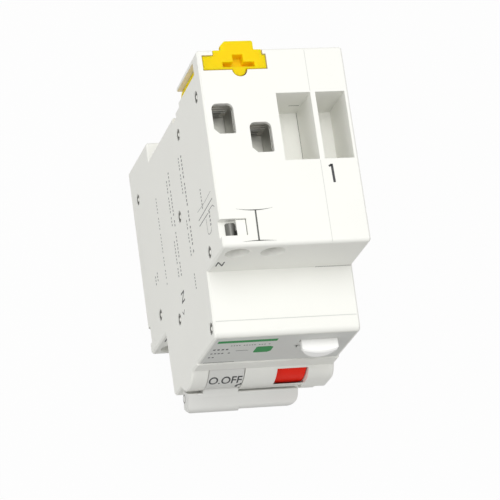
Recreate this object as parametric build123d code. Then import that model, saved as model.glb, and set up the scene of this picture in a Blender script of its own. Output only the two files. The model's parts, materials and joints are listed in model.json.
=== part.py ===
from build123d import *
from math import acos, atan2, cos, degrees, hypot, radians, sin
import os

# Two-module residual current breaker for a 35 mm rail.
# Row frame: origin at the middle of the rail seat, X to the right, +Y to the rear, +Z up.
# "Depth" is the distance in front of the rail seat, so a depth d lies at Y = -d.

# ---------------------------------------------------------------- moulded case
DEVICE_WIDTH = 36.0
MODULE = DEVICE_WIDTH / 36.0
DEVICE_HEIGHT = 79.6
SHOULDER_DEPTH = 44.6
NOSE_RISE = 16.6
NOSE_DEPTH = SHOULDER_DEPTH + NOSE_RISE
NOSE_HEIGHT = 45.8
NOSE_DRAFT = 0.7
LABEL_RECESS = 0.4
BAND_TOP = 2.5
WALL = 1.2
EDGE_BEVEL = 0.4
SHOULDER_ROUND = 1.0
NOSE_ROUND = 1.5
SEAM_X = 8.5 * MODULE

# ---------------------------------------------------------------- rail side
RAIL_GAP = 35.4
FOOT_DEPTH = 5.1
FOOT_TAPER = 0.25
FOOT_ROUND = 0.6
RAIL_LIP = 1.15
HOOK_REACH = 1.4
HOOK_WIDTH = 26.0 * MODULE
LIP_GROOVE = 0.3
SEAT_RELIEF = 1.1
SEAT_RELIEF_LOW = 10.2
SEAT_RELIEF_HIGH = 14.1

# ---------------------------------------------------------------- rail clip
CLIP_WIDTH = 15.5 * MODULE
CLIP_X = -8.97 * MODULE
CLIP_DEPTH = 3.5
CLIP_GAP = 0.15
CLIP_TRAVEL = 3.0
CLIP_STEP_WIDTH = 12.0 * MODULE
CLIP_STEP_X = -7.98 * MODULE
CLIP_STEP_LOW = DEVICE_HEIGHT / 2 - 4.8
CLIP_TAB_WIDTH = 8.05 * MODULE
CLIP_TAB_X = -7.87 * MODULE
CLIP_TAB_REAR = 7.4
CLIP_TAB_CORNER = 1.1
CLIP_TAB_THICK = 1.8
CLIP_SLOT_DEEP = 2.6
CLIP_SLOT_WIDTH = 7.8
CLIP_STEM_WIDTH = 2.5
CLIP_TONGUE_RADIUS = 1.6
SIDE_SLOT_HIGH = DEVICE_HEIGHT / 2 - 4.6

# ---------------------------------------------------------------- terminals
PARTITION_LEFT = -1.0 * MODULE
POLE_INSET = {"n": 4.4, "l": 3.95}
POLE_X = {"n": POLE_INSET["n"] - DEVICE_WIDTH / 2, "l": PARTITION_LEFT - POLE_INSET["l"]}
CLAMP_DEPTH = {"n": 16.4, "l": 21.4}
CABLE_WIDTH = 5.3
CABLE_DEPTH = 7.65
CABLE_CHAMFER = 1.25
CABLE_ROUND = 1.4
CAGE_INNER = 5.0
CAGE_WALL = 0.5
CAGE_BAR = 1.2
CAGE_NUT = 3.0
SCREW_Z = DEVICE_HEIGHT / 2 - 4.6
CAGE_LOW = SCREW_Z - 4.0
CAGE_HIGH = SCREW_Z + 3.0
CAGE_TRAVEL = 3.5
PLATE_THICK = 1.0
PLATE_WIDTH = 4.4
PLATE_GAP = 0.1
SCREW_RADIUS = 1.9
SCREW_HEAD_RADIUS = 2.2
SCREW_HEAD_THICK = 2.4
SCREW_SLOT = 0.8
GUIDE_RADIUS = 2.4
GUIDE_MOUTH = 3.0
GUIDE_MOUTH_DEEP = 2.2
GUIDE_WALL = 1.0
BARRIER_LOW = SCREW_Z - 5.6
BARRIER_REAR = 7.0
FLOOR_GAP = 0.3
FLOOR_THICK = 0.8
RUNNING_GAP = 0.04

# ---------------------------------------------------------------- end pockets and notch
POCKET_REAR = 6.45
POCKET_FRONT = 23.55
POCKET_DEEP = 13.2
NOTCH_WIDTH = 6.4
NOTCH_REAR = SHOULDER_DEPTH - 7.0
NOTCH_FRONT = SHOULDER_DEPTH - 2.8
NOTCH_DEEP = 2.1
PROBE_INSET = 1.5
PROBE_RADIUS = 1.25

# ---------------------------------------------------------------- rivets: depth, height
RIVET_PLACES = [
    (4.6, SCREW_Z - 1.0),
    (5.9, 13.9),
    (4.8, 2.2 - SCREW_Z),
    (SHOULDER_DEPTH - 20.7, 5.1),
    (SHOULDER_DEPTH - 3.3, SCREW_Z - 7.7),
    (SHOULDER_DEPTH - 5.9, 9.7 - SCREW_Z),
    (NOSE_DEPTH - 15.2, -7.7),
    (NOSE_DEPTH - 3.5, 19.7),
]
RIVET_RADIUS = 1.45
RIVET_SUNK = 0.3

# ---------------------------------------------------------------- toggle and flag
AXIS_DEPTH = NOSE_DEPTH - 7.35
AXIS_Z = -8.67
POST_RADIUS = 9.85
POST_INNER = 8.65
DRUM_RADIUS = 9.7
DRUM_SHELL = 1.2
DRUM_LEFT = -13.7 * MODULE
DRUM_RIGHT = -4.8 * MODULE
DRUM_GAP = 0.2
HUB_RADIUS = 3.0
PIN_RADIUS = 1.05
PIN_GAP = 0.03
PIN_BOSS = 2.3
HANDLE_REST = 25.0
TOGGLE_SWING = 52.0
HANDLE_LEFT = -17.5 * MODULE
HANDLE_STEP = -4.6 * MODULE
HANDLE_RIGHT = 10.5 * MODULE
HANDLE_ROOT = 10.35
HANDLE_TIP = 15.4
HANDLE_TIP_RIGHT = 14.9
HANDLE_UP = 2.4
HANDLE_DOWN = 2.4
HANDLE_DOWN_RIGHT = 1.5
HANDLE_CORNER = 3.0
CHEEK_FRONT = NOSE_DEPTH + 2.65
CHEEK_LEFT = 11.4 * MODULE
CHEEK_ROUND = 4.1
WINDOW_LEFT = 3.5 * MODULE
WINDOW_LOW = AXIS_Z + 0.27
WINDOW_HIGH = AXIS_Z + 6.07
WINDOW_UNDERCUT = 3.1
WINDOW_LIP = 1.0
FLAG_RADIUS = 9.1
FLAG_ROOM = FLAG_RADIUS + 0.25
FLAG_SHELL = 1.0
FLAG_LEFT = WINDOW_LEFT - 0.5
FLAG_RIGHT = CHEEK_LEFT - 0.3
FLAG_HUB = 2.4
FLAG_LOW = -111.0
FLAG_SPLIT = -33.0
FLAG_HIGH = 46.0
SPRING_INNER = 1.35
SPRING_OUTER = 2.3

# ---------------------------------------------------------------- contacts
CARRIER_DEPTH = SHOULDER_DEPTH - 14.6
CARRIER_Z = -14.0
CARRIER_RADIUS = 2.3
CARRIER_ARM = 1.4
CARRIER_REACH = 12.0
CARRIER_BOSS = 2.0
CARRIER_BOSS_HIGH = 0.8
BLADE_THICK = 1.6
BLADE_WIDTH = 3.2
BLADE_TOP = 19.6
BLADE_BOTTOM = 2.6
TIP_HEIGHT = 4.0
TIP_THICK = 1.0
CONTACT_GAP = 0.2
CRANK_RADIUS = 4.1
CRANK_THICK = 1.6
CRANK_X = POLE_X["n"] + 4.0
LEVER_RADIUS = 9.0
LEVER_LEAN = -11.5
LINK_RADIUS = 0.5
LINK_X = CRANK_X - 1.45
LINK_EYE_GAP = 0.06
LINK_SLOT_GAP = 0.45
LINK_OVERHANG = 0.4

# ---------------------------------------------------------------- tripping
COIL_DEPTH = SHOULDER_DEPTH - 5.0
COIL_LOW = 8.0
COIL_HIGH = SCREW_Z - 13.2
COIL_RADIUS = 3.0
COIL_BORE = 1.9
PLUNGER_RADIUS = 1.6
PLUNGER_TOP = 14.5
STRIKER_RADIUS = 0.7
PLUNGER_TRAVEL = 1.0
TRIP_DEPTH = SHOULDER_DEPTH - 1.6
TRIP_Z = -11.0
TRIP_RADIUS = 1.1
TRIP_LEFT = -16.6 * MODULE
TRIP_BOSS = 2.0
TRIP_BOSS_HIGH = 1.0
TRIP_RIGHT = 7.0 * MODULE
LOBE_REACH = 4.2
LOBE_TOP = -10.2
STRIKE_GAP = 1.2
BIMETAL_DEPTH = SHOULDER_DEPTH - 3.4
BIMETAL_THICK = 0.8
BIMETAL_WIDTH = 4.6
BIMETAL_TOP = -13.2
CHUTE_REAR = 8.0
CHUTE_FRONT = SHOULDER_DEPTH - 23.0
CHUTE_HEIGHT = 16.0
CHUTE_PLATES = 8
CHUTE_PLATE = 0.8

# ---------------------------------------------------------------- residual module
PARTITION_THICK = 0.8
PARTITION_HIGH = SCREW_Z - 11.2
PARTITION_REAR = 8.2
PARTITION_NOSE_HIGH = 17.0
TOROID_DEPTH = SHOULDER_DEPTH - 25.6
TOROID_Z = -13.0
TOROID_RADIUS = 10.0
TOROID_BORE = 5.4
TOROID_LEFT = 4.6 * MODULE
TOROID_THICK = 7.6 * MODULE
WINDING_PROUD = 0.7
LEAD_RADIUS = 1.3
LEAD_SPACING = 3.6
SPIGOT_GAP = 0.3
SPIGOT_FLANGE = 1.0
RELAY_LEFT = 0.1 * MODULE
RELAY_WIDTH = 10.0 * MODULE
RELAY_REAR = SHOULDER_DEPTH - 14.6
RELAY_FRONT = SHOULDER_DEPTH - 3.1
RELAY_LOW = -7.4
RELAY_HIGH = 8.0
RELAY_PIN_X = 4.0 * MODULE
RELAY_PIN_DEPTH = TRIP_DEPTH - 3.8
RELAY_PIN_RADIUS = 0.8
BOARD_GAP = 0.3
BOARD_THICK = 1.2
BOARD_LEFT = DEVICE_WIDTH / 2 - WALL - BOARD_GAP - BOARD_THICK
BOARD_REAR = 8.0
BOARD_FRONT = SHOULDER_DEPTH - 2.6
BOARD_LOW = 16.8 - DEVICE_HEIGHT / 2
BOARD_HIGH = DEVICE_HEIGHT / 2 - 19.8
VARISTOR_RADIUS = 3.6

# ---------------------------------------------------------------- test button
BUTTON_X = 9.0 * MODULE
BUTTON_WIDTH = 9.0 * MODULE
BUTTON_TOP = 17.0
BUTTON_SIDE = 15.9
BUTTON_BOTTOM = 12.9
BUTTON_PROUD = 3.3
BUTTON_BOW = 0.8
BUTTON_TRAVEL = 1.6
BUTTON_GAP = 0.25
BUTTON_FLANGE = 0.8
STEM_RADIUS = 1.6
STEM_Z = 15.0
STEM_END = NOSE_DEPTH - 12.2
SPRING_SEAT = NOSE_DEPTH - 10.2
SPRING_SEAT_THICK = 1.0
TEST_CONTACT_THICK = 0.4

# ---------------------------------------------------------------- derived places
LEFT = -DEVICE_WIDTH / 2
RIGHT = DEVICE_WIDTH / 2
END_Z = DEVICE_HEIGHT / 2
NOSE_Z = NOSE_HEIGHT / 2
GAP_Z = RAIL_GAP / 2
LABEL_DEPTH = NOSE_DEPTH - LABEL_RECESS
INNER_LEFT = LEFT + WALL
INNER_RIGHT = RIGHT - WALL
INNER_FRONT = LABEL_DEPTH - WALL
BULGE_REACH = (POST_RADIUS**2 - (NOSE_DEPTH - AXIS_DEPTH) ** 2) ** 0.5


# ---------------------------------------------------------------- shape helpers
def yz(depth, z):
    """A point of a side view, from its depth in front of the rail seat and its height."""
    return (-depth, z)


def side_prism(points, left, right, radii=0.0):
    """A side-view outline of (depth, z) points, drawn across from left to right."""
    corners = [yz(depth, z) for depth, z in points]
    outline = FilletPolyline(*corners, radius=radii, close=True)
    face = Plane.YZ.offset(left) * make_face(outline.edges())
    return extrude(face, amount=right - left, dir=(1, 0, 0))


def end_prism(points, low, high, radii=0.0):
    """A plan-view outline of (x, depth) points, drawn up from low to high."""
    corners = [(x, -depth) for x, depth in points]
    outline = FilletPolyline(*corners, radius=radii, close=True)
    face = Plane.XY.offset(low) * make_face(outline.edges())
    return extrude(face, amount=high - low, dir=(0, 0, 1))


def block(left, right, rear, front, low, high):
    """A box between two widths, two depths and two heights."""
    size = (right - left, front - rear, high - low)
    middle = ((left + right) / 2, -(rear + front) / 2, (low + high) / 2)
    return Pos(*middle) * Box(*size)


def bar_x(left, right, depth, z, radius):
    """A round bar across the width."""
    start = Align.CENTER, Align.CENTER, Align.MIN
    return Plane.YZ.offset(left) * Pos(-depth, z) * Cylinder(radius, right - left, align=start)


def bar_y(x, z, rear, front, radius):
    """A round bar along the depth."""
    return Pos(x, -(rear + front) / 2, z) * Rot(90, 0, 0) * Cylinder(radius, front - rear)


def bar_z(x, depth, low, high, radius):
    """A round bar along the height."""
    return Pos(x, -depth, (low + high) / 2) * Cylinder(radius, high - low)


def mirror_z(shape):
    """The same shape at the other end of the device."""
    return mirror(shape, about=Plane.XY)


def turn_about(shape, depth, z, angle):
    """Turns a shape about an axis along X; positive carries its front side up."""
    axis = Axis((0, -depth, z), (-1, 0, 0))
    return shape.rotate(axis, angle)


def polar(radius, angle):
    """A point about the toggle axis; angle 0 points forward and 90 points up."""
    depth = AXIS_DEPTH + radius * cos(radians(angle))
    return depth, AXIS_Z + radius * sin(radians(angle))


def sector(left, right, radius, low_angle, high_angle):
    """A pie slice of the toggle axis between two angles."""
    steps = [low_angle + (high_angle - low_angle) * i / 4 for i in range(5)]
    points = [(AXIS_DEPTH, AXIS_Z)] + [polar(2 * radius, a) for a in steps]
    wedge = side_prism(points, left, right)
    return bar_x(left, right, AXIS_DEPTH, AXIS_Z, radius) & wedge


# ---------------------------------------------------------------- moulded case
def case_outline():
    """Side view of the whole case without its rounded drum bulge."""
    nose_end = NOSE_Z - NOSE_DRAFT
    points = [
        (0, -GAP_Z),
        (-FOOT_DEPTH + FOOT_TAPER, -GAP_Z),
        (-FOOT_DEPTH, -END_Z),
        (SHOULDER_DEPTH, -END_Z),
        (SHOULDER_DEPTH, -NOSE_Z),
        (NOSE_DEPTH, -nose_end),
        (NOSE_DEPTH, BAND_TOP),
        (LABEL_DEPTH, BAND_TOP),
        (LABEL_DEPTH, nose_end),
        (SHOULDER_DEPTH, NOSE_Z),
        (SHOULDER_DEPTH, END_Z),
        (-FOOT_DEPTH, END_Z),
        (-FOOT_DEPTH + FOOT_TAPER, GAP_Z),
        (0, GAP_Z),
    ]
    radii = [
        0,
        FOOT_ROUND,
        FOOT_ROUND,
        SHOULDER_ROUND,
        0,
        SHOULDER_ROUND,
        0,
        0,
        NOSE_ROUND,
        0,
        SHOULDER_ROUND,
        FOOT_ROUND,
        FOOT_ROUND,
        0,
    ]
    return points, radii


def case_block(left, right):
    """The solid outer form of the case between two widths."""
    points, radii = case_outline()
    return side_prism(points, left, right, radii)


def case_hollow(left, right):
    """The room inside the case walls, between two widths."""
    end = END_Z - WALL
    nose = NOSE_Z - WALL
    nose_end = nose - NOSE_DRAFT
    shoulder = SHOULDER_DEPTH - WALL
    points = [
        (WALL, -end),
        (shoulder, -end),
        (shoulder, -nose),
        (INNER_FRONT, -nose_end),
        (INNER_FRONT, nose_end),
        (shoulder, nose),
        (shoulder, end),
        (WALL, end),
    ]
    return side_prism(points, left, right)


def front_half(left, right):
    """A block that holds everything in front of the shoulder."""
    return block(left, right, SHOULDER_DEPTH, CHEEK_FRONT + 1, -END_Z, END_Z)


def drum_bulge(left, right):
    """The rounded bulge of the case round the toggle drum."""
    return bar_x(left, right, AXIS_DEPTH, AXIS_Z, POST_RADIUS)


def cheek(left, right, inset=0.0):
    """The boxier right end of the bulge."""
    reach = BULGE_REACH - inset
    rear = SHOULDER_DEPTH + WALL
    points = [
        (rear, AXIS_Z - reach),
        (CHEEK_FRONT - inset, AXIS_Z - reach),
        (CHEEK_FRONT - inset, AXIS_Z + reach),
        (rear, AXIS_Z + reach),
    ]
    return side_prism(points, left, right, [0, CHEEK_ROUND - inset, CHEEK_ROUND - inset, 0])


def flag_window():
    """Opening over the indicator, undercut below so that its face fills the opening."""
    front = AXIS_DEPTH + POST_RADIUS
    rise = WINDOW_HIGH - WINDOW_LOW
    points = [
        (AXIS_DEPTH + 4, WINDOW_HIGH),
        (front + rise / WINDOW_UNDERCUT, WINDOW_HIGH),
        (front, WINDOW_LOW),
        (front - WINDOW_LIP, WINDOW_LOW - WINDOW_LIP * WINDOW_UNDERCUT),
        (AXIS_DEPTH + 4, WINDOW_LOW - WINDOW_LIP * WINDOW_UNDERCUT),
    ]
    return side_prism(points, WINDOW_LEFT, CHEEK_LEFT)


def rivet_holes(left, right):
    """Clearance holes for the eight rivets through a stretch of the case."""
    radius = RIVET_RADIUS + RUNNING_GAP
    return [bar_x(left, right, depth, z, radius) for depth, z in RIVET_PLACES]


def cable_hole(pole):
    """The shaped cable entry in the top end wall of one pole."""
    front = CLAMP_DEPTH[pole] - PLATE_GAP
    rear = front - CABLE_DEPTH
    left = POLE_X[pole] - CABLE_WIDTH / 2
    right = POLE_X[pole] + CABLE_WIDTH / 2
    points = [
        (left, rear),
        (right, rear),
        (right, front),
        (left + CABLE_CHAMFER, front),
        (left, front - CABLE_CHAMFER),
    ]
    radii = [CABLE_ROUND, CABLE_ROUND, 0.5, 0, 0]
    return end_prism(points, END_Z - 2 * WALL, END_Z + 1, radii)


def head_depth(pole):
    """Depth of the underside of a terminal screw's head."""
    return CLAMP_DEPTH[pole] + PLATE_THICK + 0.5 + CAGE_NUT + CAGE_TRAVEL + 0.4


def screw_guide(pole):
    """Square moulded tube that leads a screwdriver to the terminal screw."""
    rear = head_depth(pole) + SCREW_HEAD_THICK + 0.3
    front = SHOULDER_DEPTH - WALL / 2
    x = POLE_X[pole]
    half = GUIDE_RADIUS + GUIDE_WALL
    return block(x - half, x + half, rear, front, SCREW_Z - half, SCREW_Z + half)


def screw_channel(pole):
    """The bore of the screw guide, with its funnel mouth in the shoulder."""
    x = POLE_X[pole]
    start = SHOULDER_DEPTH - GUIDE_MOUTH_DEEP
    bore = bar_y(x, SCREW_Z, head_depth(pole), start + 0.1, GUIDE_RADIUS)
    middle = SHOULDER_DEPTH - GUIDE_MOUTH_DEEP / 2
    return bore + Pos(x, -middle, SCREW_Z) * Rot(90, 0, 0) * Cone(
        GUIDE_RADIUS, GUIDE_MOUTH, GUIDE_MOUTH_DEEP)


def clip_channel():
    """Room for the rail clip behind the seat plane, open at both ends and to the left side."""
    half = CLIP_WIDTH / 2 + CLIP_GAP
    deep = CLIP_DEPTH + 2 * CLIP_GAP
    low = GAP_Z - 1
    high = END_Z + 1
    room = block(CLIP_X - half, CLIP_X + half, -deep, CLIP_GAP, low, high)
    step = CLIP_STEP_WIDTH / 2 + CLIP_GAP
    rear = -FOOT_DEPTH - 1
    room += block(CLIP_STEP_X - step, CLIP_STEP_X + step, rear, 0, CLIP_STEP_LOW, high)
    tongue = CLIP_TONGUE_RADIUS + 0.3
    room += bar_z(CLIP_STEP_X, 0, CLIP_STEP_LOW, high, tongue)
    room += block(LEFT - 1, INNER_LEFT + 0.5, -deep, -0.7, low, SIDE_SLOT_HIGH)
    return room


def lip_grooves():
    """Shallow grooves beside the hooks, so that the seat ends short of them."""
    low = GAP_Z - HOOK_REACH - CLIP_GAP
    groove = block(LEFT - 1, RIGHT + 1, -1, LIP_GROOVE, low, GAP_Z)
    return [groove, mirror_z(groove)]


def pocket_walls(left, right):
    """Thick block that the end pocket is cut from."""
    rear = POCKET_REAR - WALL
    front = POCKET_FRONT + WALL
    return block(left, right, rear, front, END_Z - POCKET_DEEP - WALL, END_Z - WALL / 2)


def pocket_room(left, right):
    """The hollow of an end pocket."""
    return block(left, right, POCKET_REAR, POCKET_FRONT, END_Z - POCKET_DEEP, END_Z + 1)


def notch_block():
    """Thickening of the end wall under the side notch."""
    right = LEFT + NOTCH_WIDTH + WALL / 2
    rear = NOTCH_REAR - WALL
    front = SHOULDER_DEPTH - WALL / 2
    return block(LEFT + WALL / 2, right, rear, front, END_Z - NOTCH_DEEP - 0.6, END_Z - WALL / 2)


def notch_room():
    """The side notch in the end face with its small contact opening."""
    low = END_Z - NOTCH_DEEP
    middle = LEFT + PROBE_INSET + 2 * PROBE_RADIUS
    room = block(LEFT - 1, middle, NOTCH_REAR, NOTCH_FRONT, low, END_Z + 1)
    right = LEFT + NOTCH_WIDTH
    room += block(middle, right, NOTCH_REAR, NOTCH_FRONT, END_Z - 0.6, END_Z + 1)
    return room


def button_outline(margin):
    """Front view of the test button: flat top, straight sides and a bowed lower edge."""
    half = BUTTON_WIDTH / 2 + margin
    top = BUTTON_TOP + margin
    left = (BUTTON_X - half, BUTTON_SIDE)
    right = (BUTTON_X + half, BUTTON_SIDE)
    low = (BUTTON_X, BUTTON_BOTTOM - margin)
    roof = Polyline(left, (BUTTON_X - half, top), (BUTTON_X + half, top), right)
    bow = ThreePointArc(right, low, left)
    return make_face(roof.edges() + bow.edges())


def button_prism(margin, rear, front):
    """The button's outline drawn forward between two depths."""
    face = Plane.XZ.offset(rear) * button_outline(margin)
    return extrude(face, amount=front - rear, dir=(0, -1, 0))


def pole_barrier():
    """Moulded rib between the two poles' upper terminals."""
    middle = (POLE_X["n"] + POLE_X["l"]) / 2
    front = SHOULDER_DEPTH - WALL / 2
    return block(middle - 0.3, middle + 0.3, BARRIER_REAR, front, BARRIER_LOW, END_Z - WALL / 2)


def terminal_floor(pole):
    """Moulded floor under one pole's clamp, where a pushed-in conductor stops."""
    middle = (POLE_X["n"] + POLE_X["l"]) / 2
    left = {"n": INNER_LEFT - 0.1, "l": middle}[pole]
    right = {"n": middle, "l": PARTITION_LEFT - 0.15}[pole]
    high = CAGE_LOW - FLOOR_GAP
    return block(left, right, BARRIER_REAR, CLAMP_DEPTH[pole] - FLOOR_GAP, high - FLOOR_THICK, high)


def square_boss(left, right, depth, z, half):
    """Square boss that holds one end of a pin."""
    return block(left, right, depth - half, depth + half, z - half, z + half)


def base_housing():
    """Left tub of the case with both end walls and the whole nose."""
    outer = case_block(LEFT, SEAM_X)
    outer += case_block(LEFT, INNER_RIGHT) & front_half(LEFT, INNER_RIGHT)
    outer += drum_bulge(LEFT, CHEEK_LEFT)
    outer += cheek(CHEEK_LEFT, INNER_RIGHT)
    rim = outer.faces().filter_by(Axis.X).sort_by(Axis.X)[0]
    outer = chamfer(rim.outer_wire().edges(), EDGE_BEVEL)
    tub = outer - case_hollow(INNER_LEFT, RIGHT)
    hollow_left = DRUM_RIGHT + 1.4
    tub -= bar_x(hollow_left, CHEEK_LEFT, AXIS_DEPTH, AXIS_Z, POST_INNER)
    tub -= bar_x(FLAG_LEFT - 0.3, CHEEK_LEFT, AXIS_DEPTH, AXIS_Z, FLAG_ROOM)
    tub -= cheek(CHEEK_LEFT + WALL, RIGHT, WALL)
    root = INNER_LEFT - 0.1
    additions = [
        square_boss(root, DRUM_LEFT - 0.5, AXIS_DEPTH, AXIS_Z, PIN_BOSS),
        square_boss(root, INNER_LEFT + CARRIER_BOSS_HIGH, CARRIER_DEPTH, CARRIER_Z, CARRIER_BOSS),
        square_boss(root, INNER_LEFT + TRIP_BOSS_HIGH, TRIP_DEPTH, TRIP_Z, TRIP_BOSS),
    ]
    for pole in POLE_X:
        additions += [screw_guide(pole), mirror_z(screw_guide(pole))]
        additions += [terminal_floor(pole), mirror_z(terminal_floor(pole))]
    additions += [notch_block(), mirror_z(notch_block())]
    additions += [pocket_walls(PARTITION_LEFT - 0.2, SEAM_X)]
    additions += [pole_barrier(), mirror_z(pole_barrier())]
    hook_low = -GAP_Z - 0.5
    hook = block(-HOOK_WIDTH / 2, SEAM_X, -FOOT_DEPTH + 0.6, -RAIL_LIP, hook_low, -GAP_Z + HOOK_REACH)
    for groove in lip_grooves():
        tub -= groove
    additions += [hook]
    seat_low = STEM_Z - 3.4
    seat = block(BUTTON_X - 3.6, BUTTON_X + 3.6, SPRING_SEAT - SPRING_SEAT_THICK, SPRING_SEAT,
                 seat_low, NOSE_Z - WALL - 0.1)
    additions += [seat]
    for piece in additions:
        tub += piece
    cuts = [clip_channel(), pocket_room(0, SEAM_X + 1), button_prism(BUTTON_GAP, INNER_FRONT - 1, 70)]
    cuts += [bar_y(BUTTON_X, STEM_Z, SPRING_SEAT - 2, SPRING_SEAT + 1, STEM_RADIUS + 0.2)]
    for pole in POLE_X:
        cuts += [cable_hole(pole), mirror_z(cable_hole(pole))]
        cuts += [screw_channel(pole), mirror_z(screw_channel(pole))]
    cuts += [notch_room(), mirror_z(notch_room())]
    cuts += rivet_holes(LEFT - 1, RIGHT)
    drum_room = bar_x(DRUM_LEFT - DRUM_GAP, DRUM_RIGHT + DRUM_GAP, AXIS_DEPTH, AXIS_Z,
                      POST_RADIUS + 0.1)
    cuts += [drum_room]
    cuts += [flag_window()]
    cuts += [bar_x(LEFT + 0.7, DRUM_LEFT, AXIS_DEPTH, AXIS_Z, PIN_RADIUS + PIN_GAP)]
    cuts += [bar_x(INNER_LEFT, INNER_LEFT + 3, CARRIER_DEPTH, CARRIER_Z, PIN_RADIUS + PIN_GAP)]
    cuts += [bar_x(INNER_LEFT, INNER_LEFT + 3, TRIP_DEPTH, TRIP_Z, TRIP_RADIUS + RUNNING_GAP)]
    cuts += [block(LEFT - 1, LEFT + SEAT_RELIEF, -1, 1.6, SEAT_RELIEF_LOW, SEAT_RELIEF_HIGH)]
    for piece in cuts:
        tub -= piece
    return tub


def right_cover():
    """Right tub of the case: body walls behind the shoulder and the whole right side."""
    outer = case_block(SEAM_X, RIGHT) - front_half(SEAM_X - 1, INNER_RIGHT)
    outer += cheek(INNER_RIGHT, RIGHT)
    rim = outer.faces().filter_by(Axis.X).sort_by(Axis.X)[-1]
    outer = chamfer(rim.outer_wire().edges(), EDGE_BEVEL)
    tub = outer - case_hollow(SEAM_X - 1, INNER_RIGHT)
    for groove in lip_grooves():
        tub -= groove
    hook = block(SEAM_X, HOOK_WIDTH / 2, -FOOT_DEPTH + 0.6, -RAIL_LIP, -GAP_Z - 0.5,
                 -GAP_Z + HOOK_REACH)
    tub += hook
    tub += pocket_walls(SEAM_X, INNER_RIGHT + 0.1)
    tub += square_boss(CHEEK_LEFT + 2, INNER_RIGHT + 0.1, AXIS_DEPTH, AXIS_Z, PIN_BOSS)
    tub -= pocket_room(SEAM_X + WALL, INNER_RIGHT + 0.2)
    tub -= bar_x(CHEEK_LEFT, RIGHT - 0.7, AXIS_DEPTH, AXIS_Z, PIN_RADIUS + PIN_GAP)
    for piece in rivet_holes(LEFT, RIGHT + 1):
        tub -= piece
    return tub


def centre_partition():
    """Inner wall between the breaker poles and the residual module."""
    left = PARTITION_LEFT
    right = PARTITION_LEFT + PARTITION_THICK
    gap = 0.15
    shoulder = SHOULDER_DEPTH - WALL - gap
    nose = NOSE_Z - WALL - NOSE_DRAFT - gap
    points = [
        (PARTITION_REAR, -PARTITION_HIGH),
        (shoulder, -PARTITION_HIGH),
        (shoulder, -nose),
        (INNER_FRONT - gap, -nose),
        (INNER_FRONT - gap, PARTITION_NOSE_HIGH),
        (shoulder, PARTITION_NOSE_HIGH),
        (shoulder, PARTITION_HIGH),
        (PARTITION_REAR, PARTITION_HIGH),
    ]
    wall = side_prism(points, left, right)
    for hole in rivet_holes(left, right):
        wall -= hole
    wall -= bar_x(left, right, AXIS_DEPTH, AXIS_Z, PIN_RADIUS + PIN_GAP)
    wall -= bar_x(left, right, CARRIER_DEPTH, CARRIER_Z, PIN_RADIUS + PIN_GAP)
    wall -= bar_x(left, right, TRIP_DEPTH, TRIP_Z, TRIP_RADIUS + RUNNING_GAP)
    reach = TOROID_BORE - WINDING_PROUD - SPIGOT_GAP
    outline = Plane.YZ.offset(right) * Pos(-TOROID_DEPTH, TOROID_Z) * RegularPolygon(reach, 8)
    spigot = extrude(outline, amount=TOROID_LEFT + TOROID_THICK - right, dir=(1, 0, 0))
    flange = TOROID_LEFT - WINDING_PROUD - SPIGOT_GAP
    wall += spigot
    wall += square_boss(flange - SPIGOT_FLANGE, flange, TOROID_DEPTH, TOROID_Z, TOROID_BORE + 1)
    half = LEAD_RADIUS + SPIGOT_GAP
    tall = half + LEAD_SPACING / 2
    wall -= block(left, TOROID_LEFT + TOROID_THICK, TOROID_DEPTH - half, TOROID_DEPTH + half,
                  TOROID_Z - tall, TOROID_Z + tall)
    return wall


def rivets():
    """Eight rivets that clamp the case together, sunk a little in both side faces."""
    left = LEFT + RIVET_SUNK
    right = RIGHT - RIVET_SUNK
    return [bar_x(left, right, depth, z, RIVET_RADIUS) for depth, z in RIVET_PLACES]


def probe_contact():
    """Half-round metal test contact on the floor of the notch, one at each end."""
    low = END_Z - NOTCH_DEEP
    x = LEFT + PROBE_INSET + PROBE_RADIUS
    front = NOTCH_FRONT - 0.05
    contact = bar_y(x, low, NOTCH_REAR + 0.7, front, PROBE_RADIUS - 0.05)
    contact &= block(LEFT, RIGHT, NOTCH_REAR, NOTCH_FRONT, low, END_Z)
    return [contact, mirror_z(contact)]


# ---------------------------------------------------------------- rail clip
def din_clip():
    """Sliding rail clip with its pull tab, screwdriver slot and catch."""
    half = CLIP_WIDTH / 2
    rear = -CLIP_DEPTH - CLIP_GAP
    catch = GAP_Z - HOOK_REACH
    top = END_Z - 0.2
    plate = block(CLIP_X - half, CLIP_X + half, rear, -CLIP_GAP, GAP_Z + 0.3, top)
    catch_points = [
        (rear, GAP_Z + 1),
        (rear, catch + 1.2),
        (rear + 0.8, catch),
        (-RAIL_LIP, catch),
        (-RAIL_LIP, GAP_Z + 1),
    ]
    clip = plate + side_prism(catch_points, CLIP_X - half, CLIP_X + half)
    step = CLIP_STEP_WIDTH / 2
    step_low = CLIP_STEP_LOW + CLIP_TRAVEL / 10
    clip += block(CLIP_STEP_X - step, CLIP_STEP_X + step, -FOOT_DEPTH, rear + 0.5, step_low, top)
    tab_left = CLIP_TAB_X - CLIP_TAB_WIDTH / 2
    tab_right = CLIP_TAB_X + CLIP_TAB_WIDTH / 2
    tab_points = [
        (tab_left, -FOOT_DEPTH + 0.5),
        (tab_left, -CLIP_TAB_REAR + CLIP_TAB_CORNER),
        (tab_left + CLIP_TAB_CORNER, -CLIP_TAB_REAR),
        (tab_right, -CLIP_TAB_REAR),
        (tab_right, -FOOT_DEPTH + 0.5),
    ]
    clip += end_prism(tab_points, top - CLIP_TAB_THICK, top, [0, 0.3, 0.3, 0.5, 0])
    clip += bar_z(CLIP_STEP_X, 0, top - 4, top, CLIP_TONGUE_RADIUS)
    clip -= block(CLIP_X - 4 * MODULE, CLIP_X + 4 * MODULE, -6, 1, GAP_Z + 6, CLIP_STEP_LOW - 2)
    return clip - clip_slot(top)


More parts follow.
